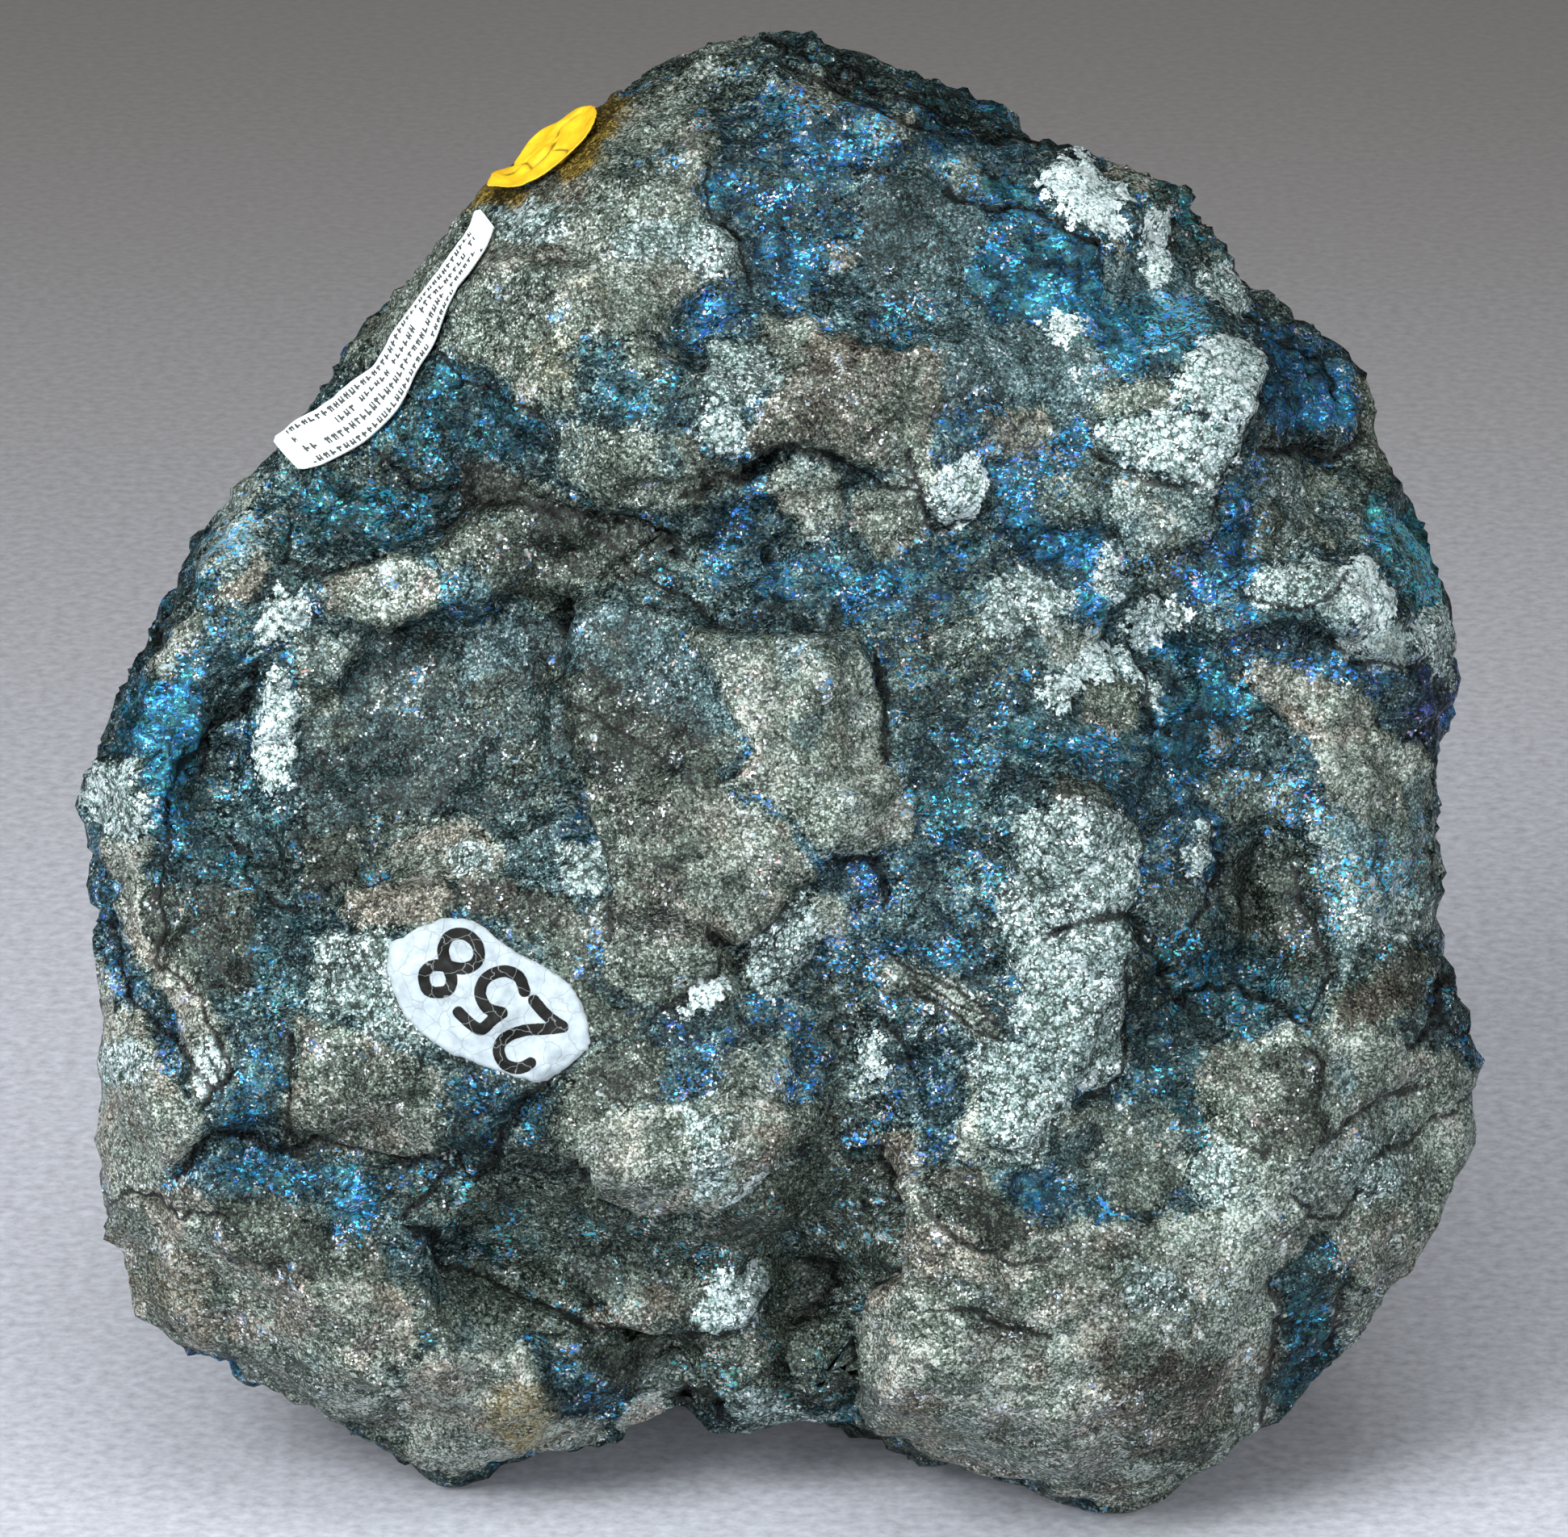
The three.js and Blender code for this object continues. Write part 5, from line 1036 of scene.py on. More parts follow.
def small_pits(points):
    """1 in the middle of the small dark pits that lie here and there, fading to 0 at their edges."""
    places = points + 0.5 * drift(points, 0.9, (97, 98, 99))
    cell, near, _ = nearest_cells(places, PIT_SPACING, 311)
    reach = 0.35 + 0.75 * chance(cell, 315)
    return (chance(cell, 316) < PIT_SHARE) * (1 - ease(near * PIT_SPACING, 0.45 * reach, reach))


def near_labels(points):
    """1 under and close to a label, where the stone is smoother."""
    calm = np.zeros(len(points))
    for label in LABELS.values():
        way = points - np.array(label["aim"])
        right, up, across = label_axes(label)
        past_end = np.maximum(np.abs(way @ right) - label["half_length"], 0)
        past_side = np.maximum(np.abs(way @ across - bow_at(label, way @ right)) - label["half_width"], 0)
        off = np.sqrt(past_end ** 2 + past_side ** 2 + (0.3 * (way @ up)) ** 2)
        calm = np.maximum(calm, 1 - ease(off, 0.3, 2.0))
    return calm


# Ochre stains: where each lies on the face, how far it reaches and how strong it is.
STAINS = {
    "glue": ((-12.6, 40.6), 4.2, 1.1),
    "glue_side": ((-15.4, 38.2), 3.4, 1.1),
    "below_glue": ((-17, 35.4), 2.4, 0.9),
    "glue_edge": ((-12.4, 37.4), 2.6, 0.9),
    "upper_left": ((-13, 24.2), 3.4, 0.3),
    "upper_edge": ((-11.6, 28.6), 2.8, 0.22),
    "left_foot": ((-15.4, -40), 3.4, 0.45),
    "left_low_edge": ((-37.4, -32.4), 4.4, 0.25),
    "lobe_foot": ((8.5, -41.5), 4.2, 0.25),
}


def ochre_stain(points):
    """How strongly the ochre stains show at each point."""
    stain = np.zeros(len(points))
    for (u, v), reach, strength in STAINS.values():
        distance = np.hypot(points[:, 0] - u, points[:, 1] - v) + 0.9 * soft_noise(points, 1.7, 131)
        stain = np.maximum(stain, strength * (1 - ease(distance, 0.45 * reach, reach)))
    return stain * ease(points[:, 2], -6, -2)


# Broken facets: their size in mm, how flat they are from 0 to 1, and the seed of their places.
FACETS = ((12, 0.7, 301), (6, 0.75, 302), (3, 0.75, 303), (1.5, 0.6, 304))
FRACTURE_WIDTH = 0.22  # of the broken borders between them, mm
ROUNDINGS = (0.75, 0.5)  # how far each split of the triangles eases from flat to round
CALM_UNDER_LABELS = 0.8  # share of the fine relief that is left out under a label
FOOT_FADE = 1.2  # height over which the relief fades in above the foot, mm


def make_ore(material):
    """The stone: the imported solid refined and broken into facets, with its relief and its mineral fields."""
    points, triangles = merged_triangles(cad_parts["ore"])
    for rounding in ROUNDINGS:
        points, triangles = split_triangles(points, triangles, rounding)
    ore = new_piece("peacock_ore_stone", points, triangles, material)
    mesh = ore.data
    for polygon in mesh.polygons:
        polygon.use_smooth = True
    face_points = to_face(points)
    write_points(mesh, points)
    outward = read_rows(mesh.vertex_normals, "vector") @ np.array(FACE_AXES)
    calm = 1 - CALM_UNDER_LABELS * near_labels(face_points)
    lumps = 0.75 * rough(face_points, 5.5, 141) + 0.45 * rough(face_points, 2.4, 145)
    face_points = face_points + outward * (lumps * calm)[:, None]
    facet = np.zeros(len(points))
    fracture = np.zeros(len(points))
    for size, share, seed in FACETS:
        face_points, number, to_border = flattened(face_points, size, share, seed)
        facet += number / len(FACETS)
        broken = ease(soft_noise(face_points, 1.6 * size, seed + 20), -0.1, 0.4)
        fracture = np.maximum(fracture, broken * bell(to_border, FRACTURE_WIDTH))
    pits = small_pits(face_points)
    fields = mineral_fields(face_points)
    height = (fine_relief(face_points, fields) - PIT_DEPTH * pits) * calm
    above_foot = ease(points[:, 2] / MM, 0, FOOT_FADE)[:, None]
    points = points + (from_face(face_points) - points) * above_foot
    write_points(mesh, points)
    points = points + read_rows(mesh.vertex_normals, "vector") * height[:, None] * above_foot * MM
    points[:, 2] = np.maximum(points[:, 2], 0)
    write_points(mesh, points)
    # Each facet's random number, which the finish turns partly into painted light and shade.
    fields["facet"] = facet
    fields["fracture"] = np.maximum(fracture, pits)
    fields["line_side"], fields["line_opening"] = dark_lines(face_points)
    fields["stain"] = ochre_stain(face_points)
    for name, values in fields.items():
        write_values(mesh, name, values)
    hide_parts("ore")
    return ore


# ---------------------------------------------------------------- labels
# Each label lies where a line from its aim, against its facing, meets the stone; along is its long way.
LABELS = {
    "number": {
        "aim": (-17.3, -14.6, 14), "facing": (0, 0, 1), "along": (1, 0, 0), "bow": 0,
        "half_length": 5.6, "half_width": 4.4,
    },
    "strip": {
        "aim": (-23.3, 25.7, 5.6), "facing": (-0.73, 0.6, 0.33), "along": (0.57, 0.84, 0.16), "bow": -3.1,
        "half_length": 9.6, "half_width": 1.9,
    },
    "yellow": {
        "aim": (-14.3, 38.1, 5), "facing": (-0.64, 0.7, 0.31), "along": (0.86, 0.5, 0), "bow": 0,
        "half_length": 3.7, "half_width": 3.2,
    },
}
RAY_START = 15  # how far above its aim a label starts on its way down to the stone, mm
PAINT_BELOW = 0.5  # how far the paint's underside lies in the stone, so that no gap shows, mm
PAPER = 0.12  # thickness of the two paper labels, mm
NUMBER_OUTLINE = [
    (-6.0, 3.7), (-5.1, 4.1), (-3.7, 4.9), (-1.9, 5.2), (-0.4, 4.7), (0.9, 3.6), (2.9, 2.5), (4.2, 1.7),
    (5.2, 0.8), (5.8, -0.4), (6.1, -1.9), (5.9, -2.7), (4.8, -3.7), (3.8, -4.5), (2.8, -4.7), (0.8, -4.1),
    (-0.9, -3.5), (-2.5, -2.9), (-4.1, -1.7), (-5.4, -0.2), (-5.9, 1.2), (-6.2, 2.4),
]

# The catalogue number's strokes, on a digit 1 high that starts at 0, 0.
DIGIT_STROKES = {
    "2": [[(0.05, 0.74), (0.12, 0.9), (0.32, 0.99), (0.52, 0.9), (0.56, 0.7), (0.42, 0.44), (0.2, 0.22),
           (0.04, 0.04)], [(0.04, 0.04), (0.3, 0.07), (0.6, 0.03)]],
    "5": [[(0.56, 0.97), (0.34, 0.98), (0.15, 0.94), (0.12, 0.74), (0.08, 0.56)],
          [(0.08, 0.56), (0.28, 0.65), (0.5, 0.56), (0.58, 0.34), (0.46, 0.1), (0.24, 0.02), (0.04, 0.12)]],
    "8": [[(0.3, 0.53), (0.12, 0.64), (0.08, 0.82), (0.28, 0.98), (0.48, 0.84), (0.46, 0.66), (0.3, 0.53),
           (0.1, 0.4), (0.02, 0.2), (0.16, 0.03), (0.4, 0.02), (0.56, 0.18), (0.5, 0.4), (0.3, 0.53)]],
}
NUMBER_DIGITS = [("2", (2.4, -2.1)), ("5", (0.3, 0.3)), ("8", (-2.4, 2.4))]  # and each one's middle, mm
DIGIT_CENTRE = (0.3, 0.5)  # on a digit 1 high
DIGIT_HEIGHT = 4.2
DIGIT_STROKE = 0.36  # half a stroke's width
DIGIT_TURN = math.radians(139)


def label_axes(label):
    """A label's directions on the face: along it, out of it and across it."""
    up = Vector(label["facing"]).normalized()
    right = Vector(label["along"]).normalized()
    across = up.cross(right).normalized()
    right = across.cross(up).normalized()
    return np.array(right), np.array(up), np.array(across)


def bow_at(label, a):
    """How far a label's middle line lies out of straight, at places along it."""
    return label["bow"] * (1 - np.clip(a / label["half_length"], -1, 1) ** 2)


def rounded_path(corners, steps):
    """Points on a smooth curve through the corners."""
    ends = [corners[0], *corners, corners[-1]]
    path = []
    for before, start, end, after in zip(ends, ends[1:], ends[2:], ends[3:]):
        for step in range(steps):
            t = step / steps
            path.append(tuple(
                0.5 * (
                    2 * s + (e - b) * t + (2 * b - 5 * s + 4 * e - a) * t * t
                    + (3 * s - b - 3 * e + a) * t ** 3
                )
                for b, s, e, a in zip(before, start, end, after)
            ))
    return path + [corners[-1]]


def ink_depth(a, b):
    """How far inside the number's ink each place on the label is, in mm."""
    right = np.array([math.cos(DIGIT_TURN), math.sin(DIGIT_TURN)])
    up = np.array([-right[1], right[0]])
    x0, y0 = DIGIT_CENTRE
    nearest = np.full(len(a), FAR)
    for digit, middle in NUMBER_DIGITS:
        for stroke in DIGIT_STROKES[digit]:
            path = [
                tuple(np.array(middle) + DIGIT_HEIGHT * ((x - x0) * right + (y - y0) * up))
                for x, y in rounded_path(stroke, 4)
            ]
            _, _, distance = path_distance(a, b, path)
            nearest = np.minimum(nearest, distance)
    return DIGIT_STROKE - nearest


def rings_of(outline, around, ring_count, raggedness):
    """Rows of places from a label's middle out to its edge, which is made a little ragged, and how far out
    each place lies, up to 1."""
    closed = rounded_path([*outline, outline[0]], around)[:-1]
    edge = np.array(closed)
    bearing = np.linspace(0, 2 * math.pi, len(edge), endpoint=False)
    ring = np.stack([np.cos(bearing), np.sin(bearing), np.zeros(len(edge))], 1)
    wobble = 1 + raggedness * soft_noise(ring * 12, 1, 201) + 0.6 * raggedness * soft_noise(ring * 30, 1, 202)
    edge = edge * wobble[:, None]
    shares = np.linspace(0.02, 1, ring_count) ** 0.8
    return edge[None] * shares[:, None, None], np.repeat(shares, len(edge))


def strip_rows(label, count_along, count_across):
    """Rows of places over a strip whose corners are cut off and whose sides waver."""
    along = np.linspace(-1, 1, count_along)
    across = np.linspace(-1, 1, count_across)
    a, b = np.meshgrid(along, across, indexing="ij")
    taper = 1 - 0.22 * ease(np.abs(a), 0.965, 1.0)
    a_mm = a * label["half_length"]
    waver = 0.12 * soft_noise(np.stack([a_mm.ravel(), np.sign(b).ravel() * FAR, 0 * a.ravel()], 1), 2.5, 203)
    b_mm = b * taper * label["half_width"] + np.abs(b) * waver.reshape(b.shape)
    return np.stack([a_mm, b_mm], 2)


def smoothed(heights, passes, closed):
    """Heights over rows of places, each pass evened out with the heights beside them."""
    for _ in range(passes):
        wide = np.pad(heights, ((1, 1), (0, 0)), mode="edge")
        if closed:
            side = (np.roll(heights, 1, 1) + np.roll(heights, -1, 1)) / 2
        else:
            padded = np.pad(heights, ((0, 0), (1, 1)), mode="edge")
            side = (padded[:, :-2] + padded[:, 2:]) / 2
        heights = heights / 2 + (wide[:-2] + wide[2:]) / 8 + side / 4
    return heights


def lay_sheet(stone_tree, label, rows, closed, stiffness, relief):
    """Top and underside points of a label laid on the stone; relief gives its own height from a and b."""
    right, up, across = label_axes(label)
    flat = rows.reshape(-1, 2)
    feet = np.array(label["aim"]) + flat[:, :1] * right + (flat[:, 1:] + bow_at(label, flat[:, :1])) * across
    starts = from_face(feet + RAY_START * up)
    down = Vector(np.array(FACE_AXES) @ -up)
    falls = [stone_tree.ray_cast(Vector(start), down)[3] or RAY_START * MM for start in starts]
    heights = (RAY_START - np.array(falls) / MM).reshape(rows.shape[:2])
    laid = smoothed(heights, stiffness, closed)
    for _ in range(3):
        laid = smoothed(np.maximum(laid, heights), 3, closed)
    laid = laid.ravel()
    top = feet + up * (laid + relief(flat[:, 0], flat[:, 1]))[:, None]
    return top, feet + up * laid[:, None], up


def sheet_faces(row_count, row_length, closed):
    """Quads over rows of points, then the same rows again as the underside, and the wall between."""
    under = row_count * row_length
    faces = []
    steps = row_length if closed else row_length - 1
    for row in range(row_count - 1):
        for step in range(steps):
            after = (step + 1) % row_length
            quad = (
                row * row_length + step, (row + 1) * row_length + step,
                (row + 1) * row_length + after, row * row_length + after,
            )
            faces.append(quad)
            faces.append(tuple(under + corner for corner in reversed(quad)))
    if closed:
        faces.append(tuple(reversed(range(row_length))))
        faces.append(tuple(range(under, under + row_length)))
        rim = [(row_count - 1) * row_length + step for step in range(row_length)]
    else:
        last = row_count - 1
        rim = [row * row_length for row in range(row_count)]
        rim += [last * row_length + step for step in range(1, row_length)]
        rim += [row * row_length + row_length - 1 for row in range(last - 1, -1, -1)]
        rim += list(range(row_length - 2, 0, -1))
    for start, end in zip(rim, rim[1:] + rim[:1]):
        faces.append((start, start + under, end + under, end))
    return faces


def make_sheet(name, node, material, rows, closed, top, bottom, marks):
    """A label's piece; its marks, which the finish reads, are -1 on the underside."""
    faces = sheet_faces(rows.shape[0], rows.shape[1], closed)
    piece = new_piece(name, from_face(np.vstack([top, bottom])), faces, material)
    grid = bmesh.new()
    grid.from_mesh(piece.data)
    bmesh.ops.recalc_face_normals(grid, faces=grid.faces)
    grid.to_mesh(piece.data)
    grid.free()
    for polygon in piece.data.polygons:
        polygon.use_smooth = True
    for mark, values in marks.items():
        write_values(piece.data, mark, np.concatenate([values, values * 0 - 1]))
    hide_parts(node)


def make_number_label(stone_tree):
    """A patch of white paint with the number inked on it."""
    rows, rim = rings_of(NUMBER_OUTLINE, 8, 46, 0.014)
    ink = ink_depth(rows[..., 0].ravel(), rows[..., 1].ravel())

    def relief(a, b):
        places = np.stack([a, b, 0 * a], 1)
        brushed = 0.05 * soft_noise(places, 1.1, 211) + 0.03 * soft_noise(places, 0.45, 212)
        lip = 0.06 * ease(rim, 0.86, 0.94)
        return 0.2 + brushed + lip + 0.04 * ease(ink, -0.05, 0.1) - 0.16 * ease(rim, 0.965, 1)

    top, laid, up = lay_sheet(stone_tree, LABELS["number"], rows, True, 14, relief)
    make_sheet(
        "number_label_paint", "number_label", paint_finish(), rows, True,
        top, laid - PAINT_BELOW * up, {"ink": ink, "rim": rim},
    )


def make_strip_label(stone_tree):
    """A slip of white paper with rows of fine print."""
    rows = strip_rows(LABELS["strip"], 150, 36)
    a, b = rows[..., 0].ravel(), rows[..., 1].ravel()

    def relief(a, b):
        curl = 0.2 * ease(np.abs(a), 8.2, 9.6) + 0.1 * ease(np.abs(b), 1.4, 1.9)
        return 0.22 + curl + 0.08 * soft_noise(np.stack([a, b, 0 * a], 1), 3.5, 221)

    top, _, up = lay_sheet(stone_tree, LABELS["strip"], rows, False, 60, relief)
    make_sheet(
        "strip_label_paper", "strip_label", slip_finish(), rows, False,
        top, top - PAPER * up, {"along": a, "across": b},
    )


YELLOW_OUTLINE = [
    (-4.2, -1.4), (-2.8, 0.9), (-1.2, 2.6), (1.2, 3.2), (3.0, 2.4), (3.8, 0.6), (3.3, -1.6), (1.6, -2.9),
    (-0.6, -3.1), (-2.6, -2.4),
]
# Folds of the yellow dot, each a path on it in mm.
YELLOW_FOLDS = [
    [(-2.9, -0.2), (-1.2, 0.7), (0.6, 1.0), (1.4, 1.9), (2.9, 1.6)],
    [(-1.6, -0.9), (-0.2, -0.5), (0.6, 0.5)],
    [(-2.2, 1.4), (-1.6, 0.4), (-1.5, -0.8)],
    [(0.2, -2.6), (0.9, -1.5), (0.4, -0.6)],
]


def make_yellow_label(stone_tree):
    """A creased yellow paper dot whose lower tip has come away and curls."""
    rows, rim = rings_of(YELLOW_OUTLINE, 14, 34, 0.012)
    folds = np.full(len(rim), FAR)
    for fold in YELLOW_FOLDS:
        _, _, distance = path_distance(rows[..., 0].ravel(), rows[..., 1].ravel(), rounded_path(fold, 4))
        folds = np.minimum(folds, distance)

    def relief(a, b):
        tip = 0.9 * ease(-a, 2.4, 4.4)
        raised = 0.28 * ease(np.hypot(a, b * 1.15), 2.2, 3.8)
        cockle = 0.18 * soft_noise(np.stack([a, b, 0 * a], 1), 1.7, 231)
        return 0.32 + tip + raised + cockle - 0.22 * bell(folds, 0.22)

    top, _, up = lay_sheet(stone_tree, LABELS["yellow"], rows, True, 60, relief)
    make_sheet(
        "yellow_label_paper", "yellow_label", yellow_finish(), rows, True,
        top, top - PAPER * up, {"fold": folds, "rim": rim},
    )


# ---------------------------------------------------------------- shader sums
HALF = (0.5, 0.5, 0.5)  # middle of a random colour, which turns it into a direction


class Link:
    """A shader socket that takes part in sums: each operator adds the Math node that works it out."""

    def __init__(self, finish, socket):
        self.finish = finish
        self.socket = socket

    def sum_with(self, operation, *values):
        return self.finish.sum_with(operation, *values)

    def __add__(self, other):
        return self.sum_with("ADD", self, other)

    def __sub__(self, other):
        return self.sum_with("SUBTRACT", self, other)

    def __rsub__(self, other):
        return self.sum_with("SUBTRACT", other, self)

    def __mul__(self, other):
        return self.sum_with("MULTIPLY", self, other)

    def __truediv__(self, other):
        return self.sum_with("DIVIDE", self, other)

    __radd__ = __add__
    __rmul__ = __mul__

    def above(self, other):
        return self.sum_with("GREATER_THAN", self, other)

    def at_least(self, other):
        return self.sum_with("MAXIMUM", self, other)

    def unsigned(self):
        return self.sum_with("ABSOLUTE", self)

    def swing(self, amount):
        """A part of a sum that a value from 0 to 1 swings to either side of 0."""
        return (self - 0.5) * amount

    def other(self, name):
        """Another output of the same node."""
        return Link(self.finish, self.socket.node.outputs[name])


class Finish:
    """One material and its node tree."""

    def __init__(self, name):
        self.material = bpy.data.materials.new(name)
        self.material.use_nodes = True
        self.tree = self.material.node_tree
        self.tree.nodes.clear()

    def add(self, kind, settings=None, inputs=None, output=0):
        """A node of a kind, its settings set first and then the values or links of its sockets."""
        node = self.tree.nodes.new(kind)
        for name, value in (settings or {}).items():
            if name == "stops":
                for index, (place, colour) in enumerate(value):
                    stops = node.color_ramp.elements
                    stop = stops[index] if index < 2 else stops.new(place)
                    stop.position = place
                    stop.color = shader_colour(colour)
            else:
                setattr(node, name, value)
        for name, value in (inputs or {}).items():
            if isinstance(value, Link):
                self.tree.links.new(value.socket, node.inputs[name])
            else:
                node.inputs[name].default_value = value
        return Link(self, node.outputs[output])

    def sum_with(self, operation, *values):
        """One step of a sum."""
        return self.add("ShaderNodeMath", {"operation": operation}, dict(enumerate(values)))

    def band(self, value, low, high):
        """1 between low and high and 0 outside."""
        return self.sum_with("GREATER_THAN", value, low) * self.sum_with("LESS_THAN", value, high)

    def value_of(self, attribute):
        """What the mesh carries under a name."""
        return self.add("ShaderNodeAttribute", {"attribute_name": attribute}, output="Fac")

    def blend(self, share, first, second, way="MIX"):
        """A colour between two colours."""
        settings = {"data_type": "RGBA", "blend_type": way}
        inputs = {0: share, 6: shader_colour(first), 7: shader_colour(second)}
        return self.add("ShaderNodeMix", settings, inputs, output=2)

    def step(self, value, low, high):
        """0 below low, 1 above high and a smooth rise between."""
        settings = {"interpolation_type": "SMOOTHSTEP"}
        return self.add("ShaderNodeMapRange", settings, {"Value": value, "From Min": low, "From Max": high})

    def ramp(self, value, stops):
        """A colour that runs through the stops as a value rises."""
        return self.add("ShaderNodeValToRGB", {"stops": stops}, {"Fac": value})

    def vector(self, operation, first, second):
        """One step of a sum of places or directions."""
        inputs = {0: first, "Scale" if operation == "SCALE" else 1: second}
        return self.add("ShaderNodeVectorMath", {"operation": operation}, inputs)

    def cells(self, place, size):
        """A random colour for each cell of a size in mm."""
        inputs = {"Vector": place, "Scale": 1 / (size * MM)}
        return self.add("ShaderNodeTexVoronoi", {}, inputs, output="Color")

    def parts(self, colour):
        """The three numbers of a colour."""
        node = self.add("ShaderNodeSeparateColor", {}, {"Color": colour}).socket.node
        return [Link(self, socket) for socket in node.outputs]

    def noise(self, place, size, detail):
        """Noise from 0 to 1 whose features are a size in mm."""
        inputs = {"Vector": place, "Scale": 1 / (size * MM), "Detail": detail, "Roughness": 0.6}
        return self.add("ShaderNodeTexNoise", {}, inputs, output="Fac")

    def noise_pair(self, place, size, detail):
        """The same noise, and with it a direction that wanders at the same size."""
        value = self.noise(place, size, detail)
        return value, self.vector("SUBTRACT", value.other("Color"), HALF)

    def finish_with(self, surface_inputs):
        """The material, once its surface's sockets are set."""
        surface = self.add("ShaderNodeBsdfPrincipled", {}, surface_inputs)
        output = self.tree.nodes.new("ShaderNodeOutputMaterial")
        self.tree.links.new(surface.socket, output.inputs["Surface"])
        return self.material


def shader_colour(colour):
    """A colour's link as it is, or the linear numbers of one given as it looks on a screen, 0 to 255."""
    def linear(level):
        level /= 255
        return level / 12.92 if level <= 0.04045 else ((level + 0.055) / 1.055) ** 2.4
    return colour if isinstance(colour, Link) else (*map(linear, colour), 1.0)


# ---------------------------------------------------------------- finishes
GRAIN = 0.14  # sizes of the ore's grains, of clumps of them and of its flakes, mm
CLUMP = 0.4
FLAKE = 0.2
FLAKE_TURN = (0.5, 0.3, 0.45)  # how the flakes lie in the stone, in radians, and how they are squeezed
FLAKE_STRETCH = (0.75, 1.4, 1.3)


def ore_finish():
    """Granular sulphide: silver and grey grain patches in a tarnished ground, all with loose glints painted
    into the colour as highlights.
    """
    rock = Finish("granular_peacock_ore")
    place = rock.add("ShaderNodeTexCoord", output="Object")
    small, small_way = rock.noise_pair(place, 0.9, 2)
    fine, fine_way = rock.noise_pair(place, 0.13, 1)
    middling = rock.noise(place, 3.0, 2)
    loose = rock.vector("ADD", place, rock.vector("SCALE", fine_way, GRAIN * MM))
    shredded = rock.add("ShaderNodeMapping", {}, {
        "Vector": loose, "Rotation": FLAKE_TURN, "Scale": FLAKE_STRETCH,
    })
    grain_cells = rock.cells(loose, GRAIN)
    grain_reach = grain_cells.other("Distance")
    grain, grain_spark, _ = rock.parts(grain_cells)
    clump_cells = rock.cells(loose, CLUMP)
    clump_reach = clump_cells.other("Distance")
    clump, clump_spark, _ = rock.parts(clump_cells)
    flake_cells = rock.cells(shredded, FLAKE)
    flake, flake_spark, flake_kind = rock.parts(flake_cells)
    streaks = rock.noise(shredded, 1.5, 2)
    # Each broken facet's own random number: in the lightness below it is painted light and shade of facets
    # turned their own ways, in the tone and film a random tint.
    facet = rock.value_of("facet") - 0.5

    # Where each mineral shows, with ragged borders that follow the grains.
    ragged = grain.swing(0.3) + clump.swing(0.6) + small.swing(2.2) + middling.swing(1.6)
    silver_depth = rock.value_of("silver") + ragged * 0.7
    grey_depth = rock.value_of("grey") + ragged
    silverness = rock.step(silver_depth, rock.value_of("shine") * 0.5 - 0.55, 0.14)
    greyness = rock.step(grey_depth, -0.1, 0.1)
    solid_rock = greyness.at_least(silverness)
    blueness = rock.value_of("blue") + middling.swing(1.2) + small.swing(0.6)
    hue = rock.value_of("hue") + small.swing(0.8) + flake_kind.swing(0.5) - 0.04

    # Grey rock: teal grey, cool grey and tan, each from dark to pale.
    speckle = grain.swing(0.72) + fine.swing(1.1) + small.swing(0.24) + middling.swing(0.3)
    streaky = flake.swing(0.25) + streaks.swing(0.9)
    level = 0.57 + rock.value_of("light") * 0.36 + speckle + facet * 0.3 + streaky * (1 - solid_rock * 0.75)
    level = level - rock.step(grain_reach, 0.42, 0.7) * 0.16 - rock.step(clump_reach, 0.44, 0.64) * 0.2
    darkest, dark, mid, pale = 0.0, 0.2, 0.6, 1.0
    black = (darkest, (8, 11, 11))
    span = level * (pale - dark) + dark
    teal = rock.ramp(span, [black, (pale, (158, 184, 188)), (dark, (16, 30, 30)), (mid, (66, 92, 95))])
    cool = rock.ramp(span, [black, (pale, (178, 189, 182)), (dark, (22, 30, 24)), (mid, (84, 97, 87))])
    tan = rock.ramp(span, [black, (pale, (180, 176, 164)), (dark, (28, 25, 20)), (mid, (97, 94, 83))])
    tone = rock.value_of("tone") + small.swing(0.9) + middling.swing(0.9) + facet * 0.4
    grey = rock.blend(rock.step(tone, 0.2, 1.2), rock.blend(rock.step(tone, 0.1, -0.8), cool, teal), tan)

    # Silver grains with dark gaps between their clumps.
    shine = rock.value_of("shine")
    silver_level = 0.5 + speckle * 0.9 + facet * 0.25 + clump.swing(0.4) + shine.swing(0.4)
    gaps = (rock.step(clump_reach, 0.46, 0.66), rock.step(grain_reach, 0.45, 0.7))
    silver_level = silver_level - gaps[0] * 0.3 - gaps[1] * 0.14
    silver = rock.ramp(silver_level, [
        (0.0, (34, 45, 40)), (1.0, (222, 236, 239)), (0.35, (92, 112, 107)), (0.65, (148, 171, 171)),
    ])

    # Tarnish over the ground.
    film = 0.28 + blueness * 0.2 + middling.swing(0.9) + streaky * 1.1 + grain.swing(0.4)
    film = film + fine.swing(0.6) + clump.swing(0.3) + facet * 0.3
    deep = rock.ramp(hue, [(0.0, (12, 32, 30)), (1.0, (22, 26, 46)), (0.5, (10, 30, 42))])
    lit = rock.ramp(hue, [(0.0, (62, 120, 112)), (1.0, (80, 90, 140)), (0.5, (42, 102, 134))])
    tarnish = rock.blend(rock.step(film, 0.1, 1.05), deep, lit)
    filmed = rock.step(blueness + flake_spark.swing(0.8), 0.2, 0.9) * (1 - greyness * 0.75)
    colour = rock.blend(filmed, grey, tarnish)
    colour = rock.blend(silverness, colour, silver)

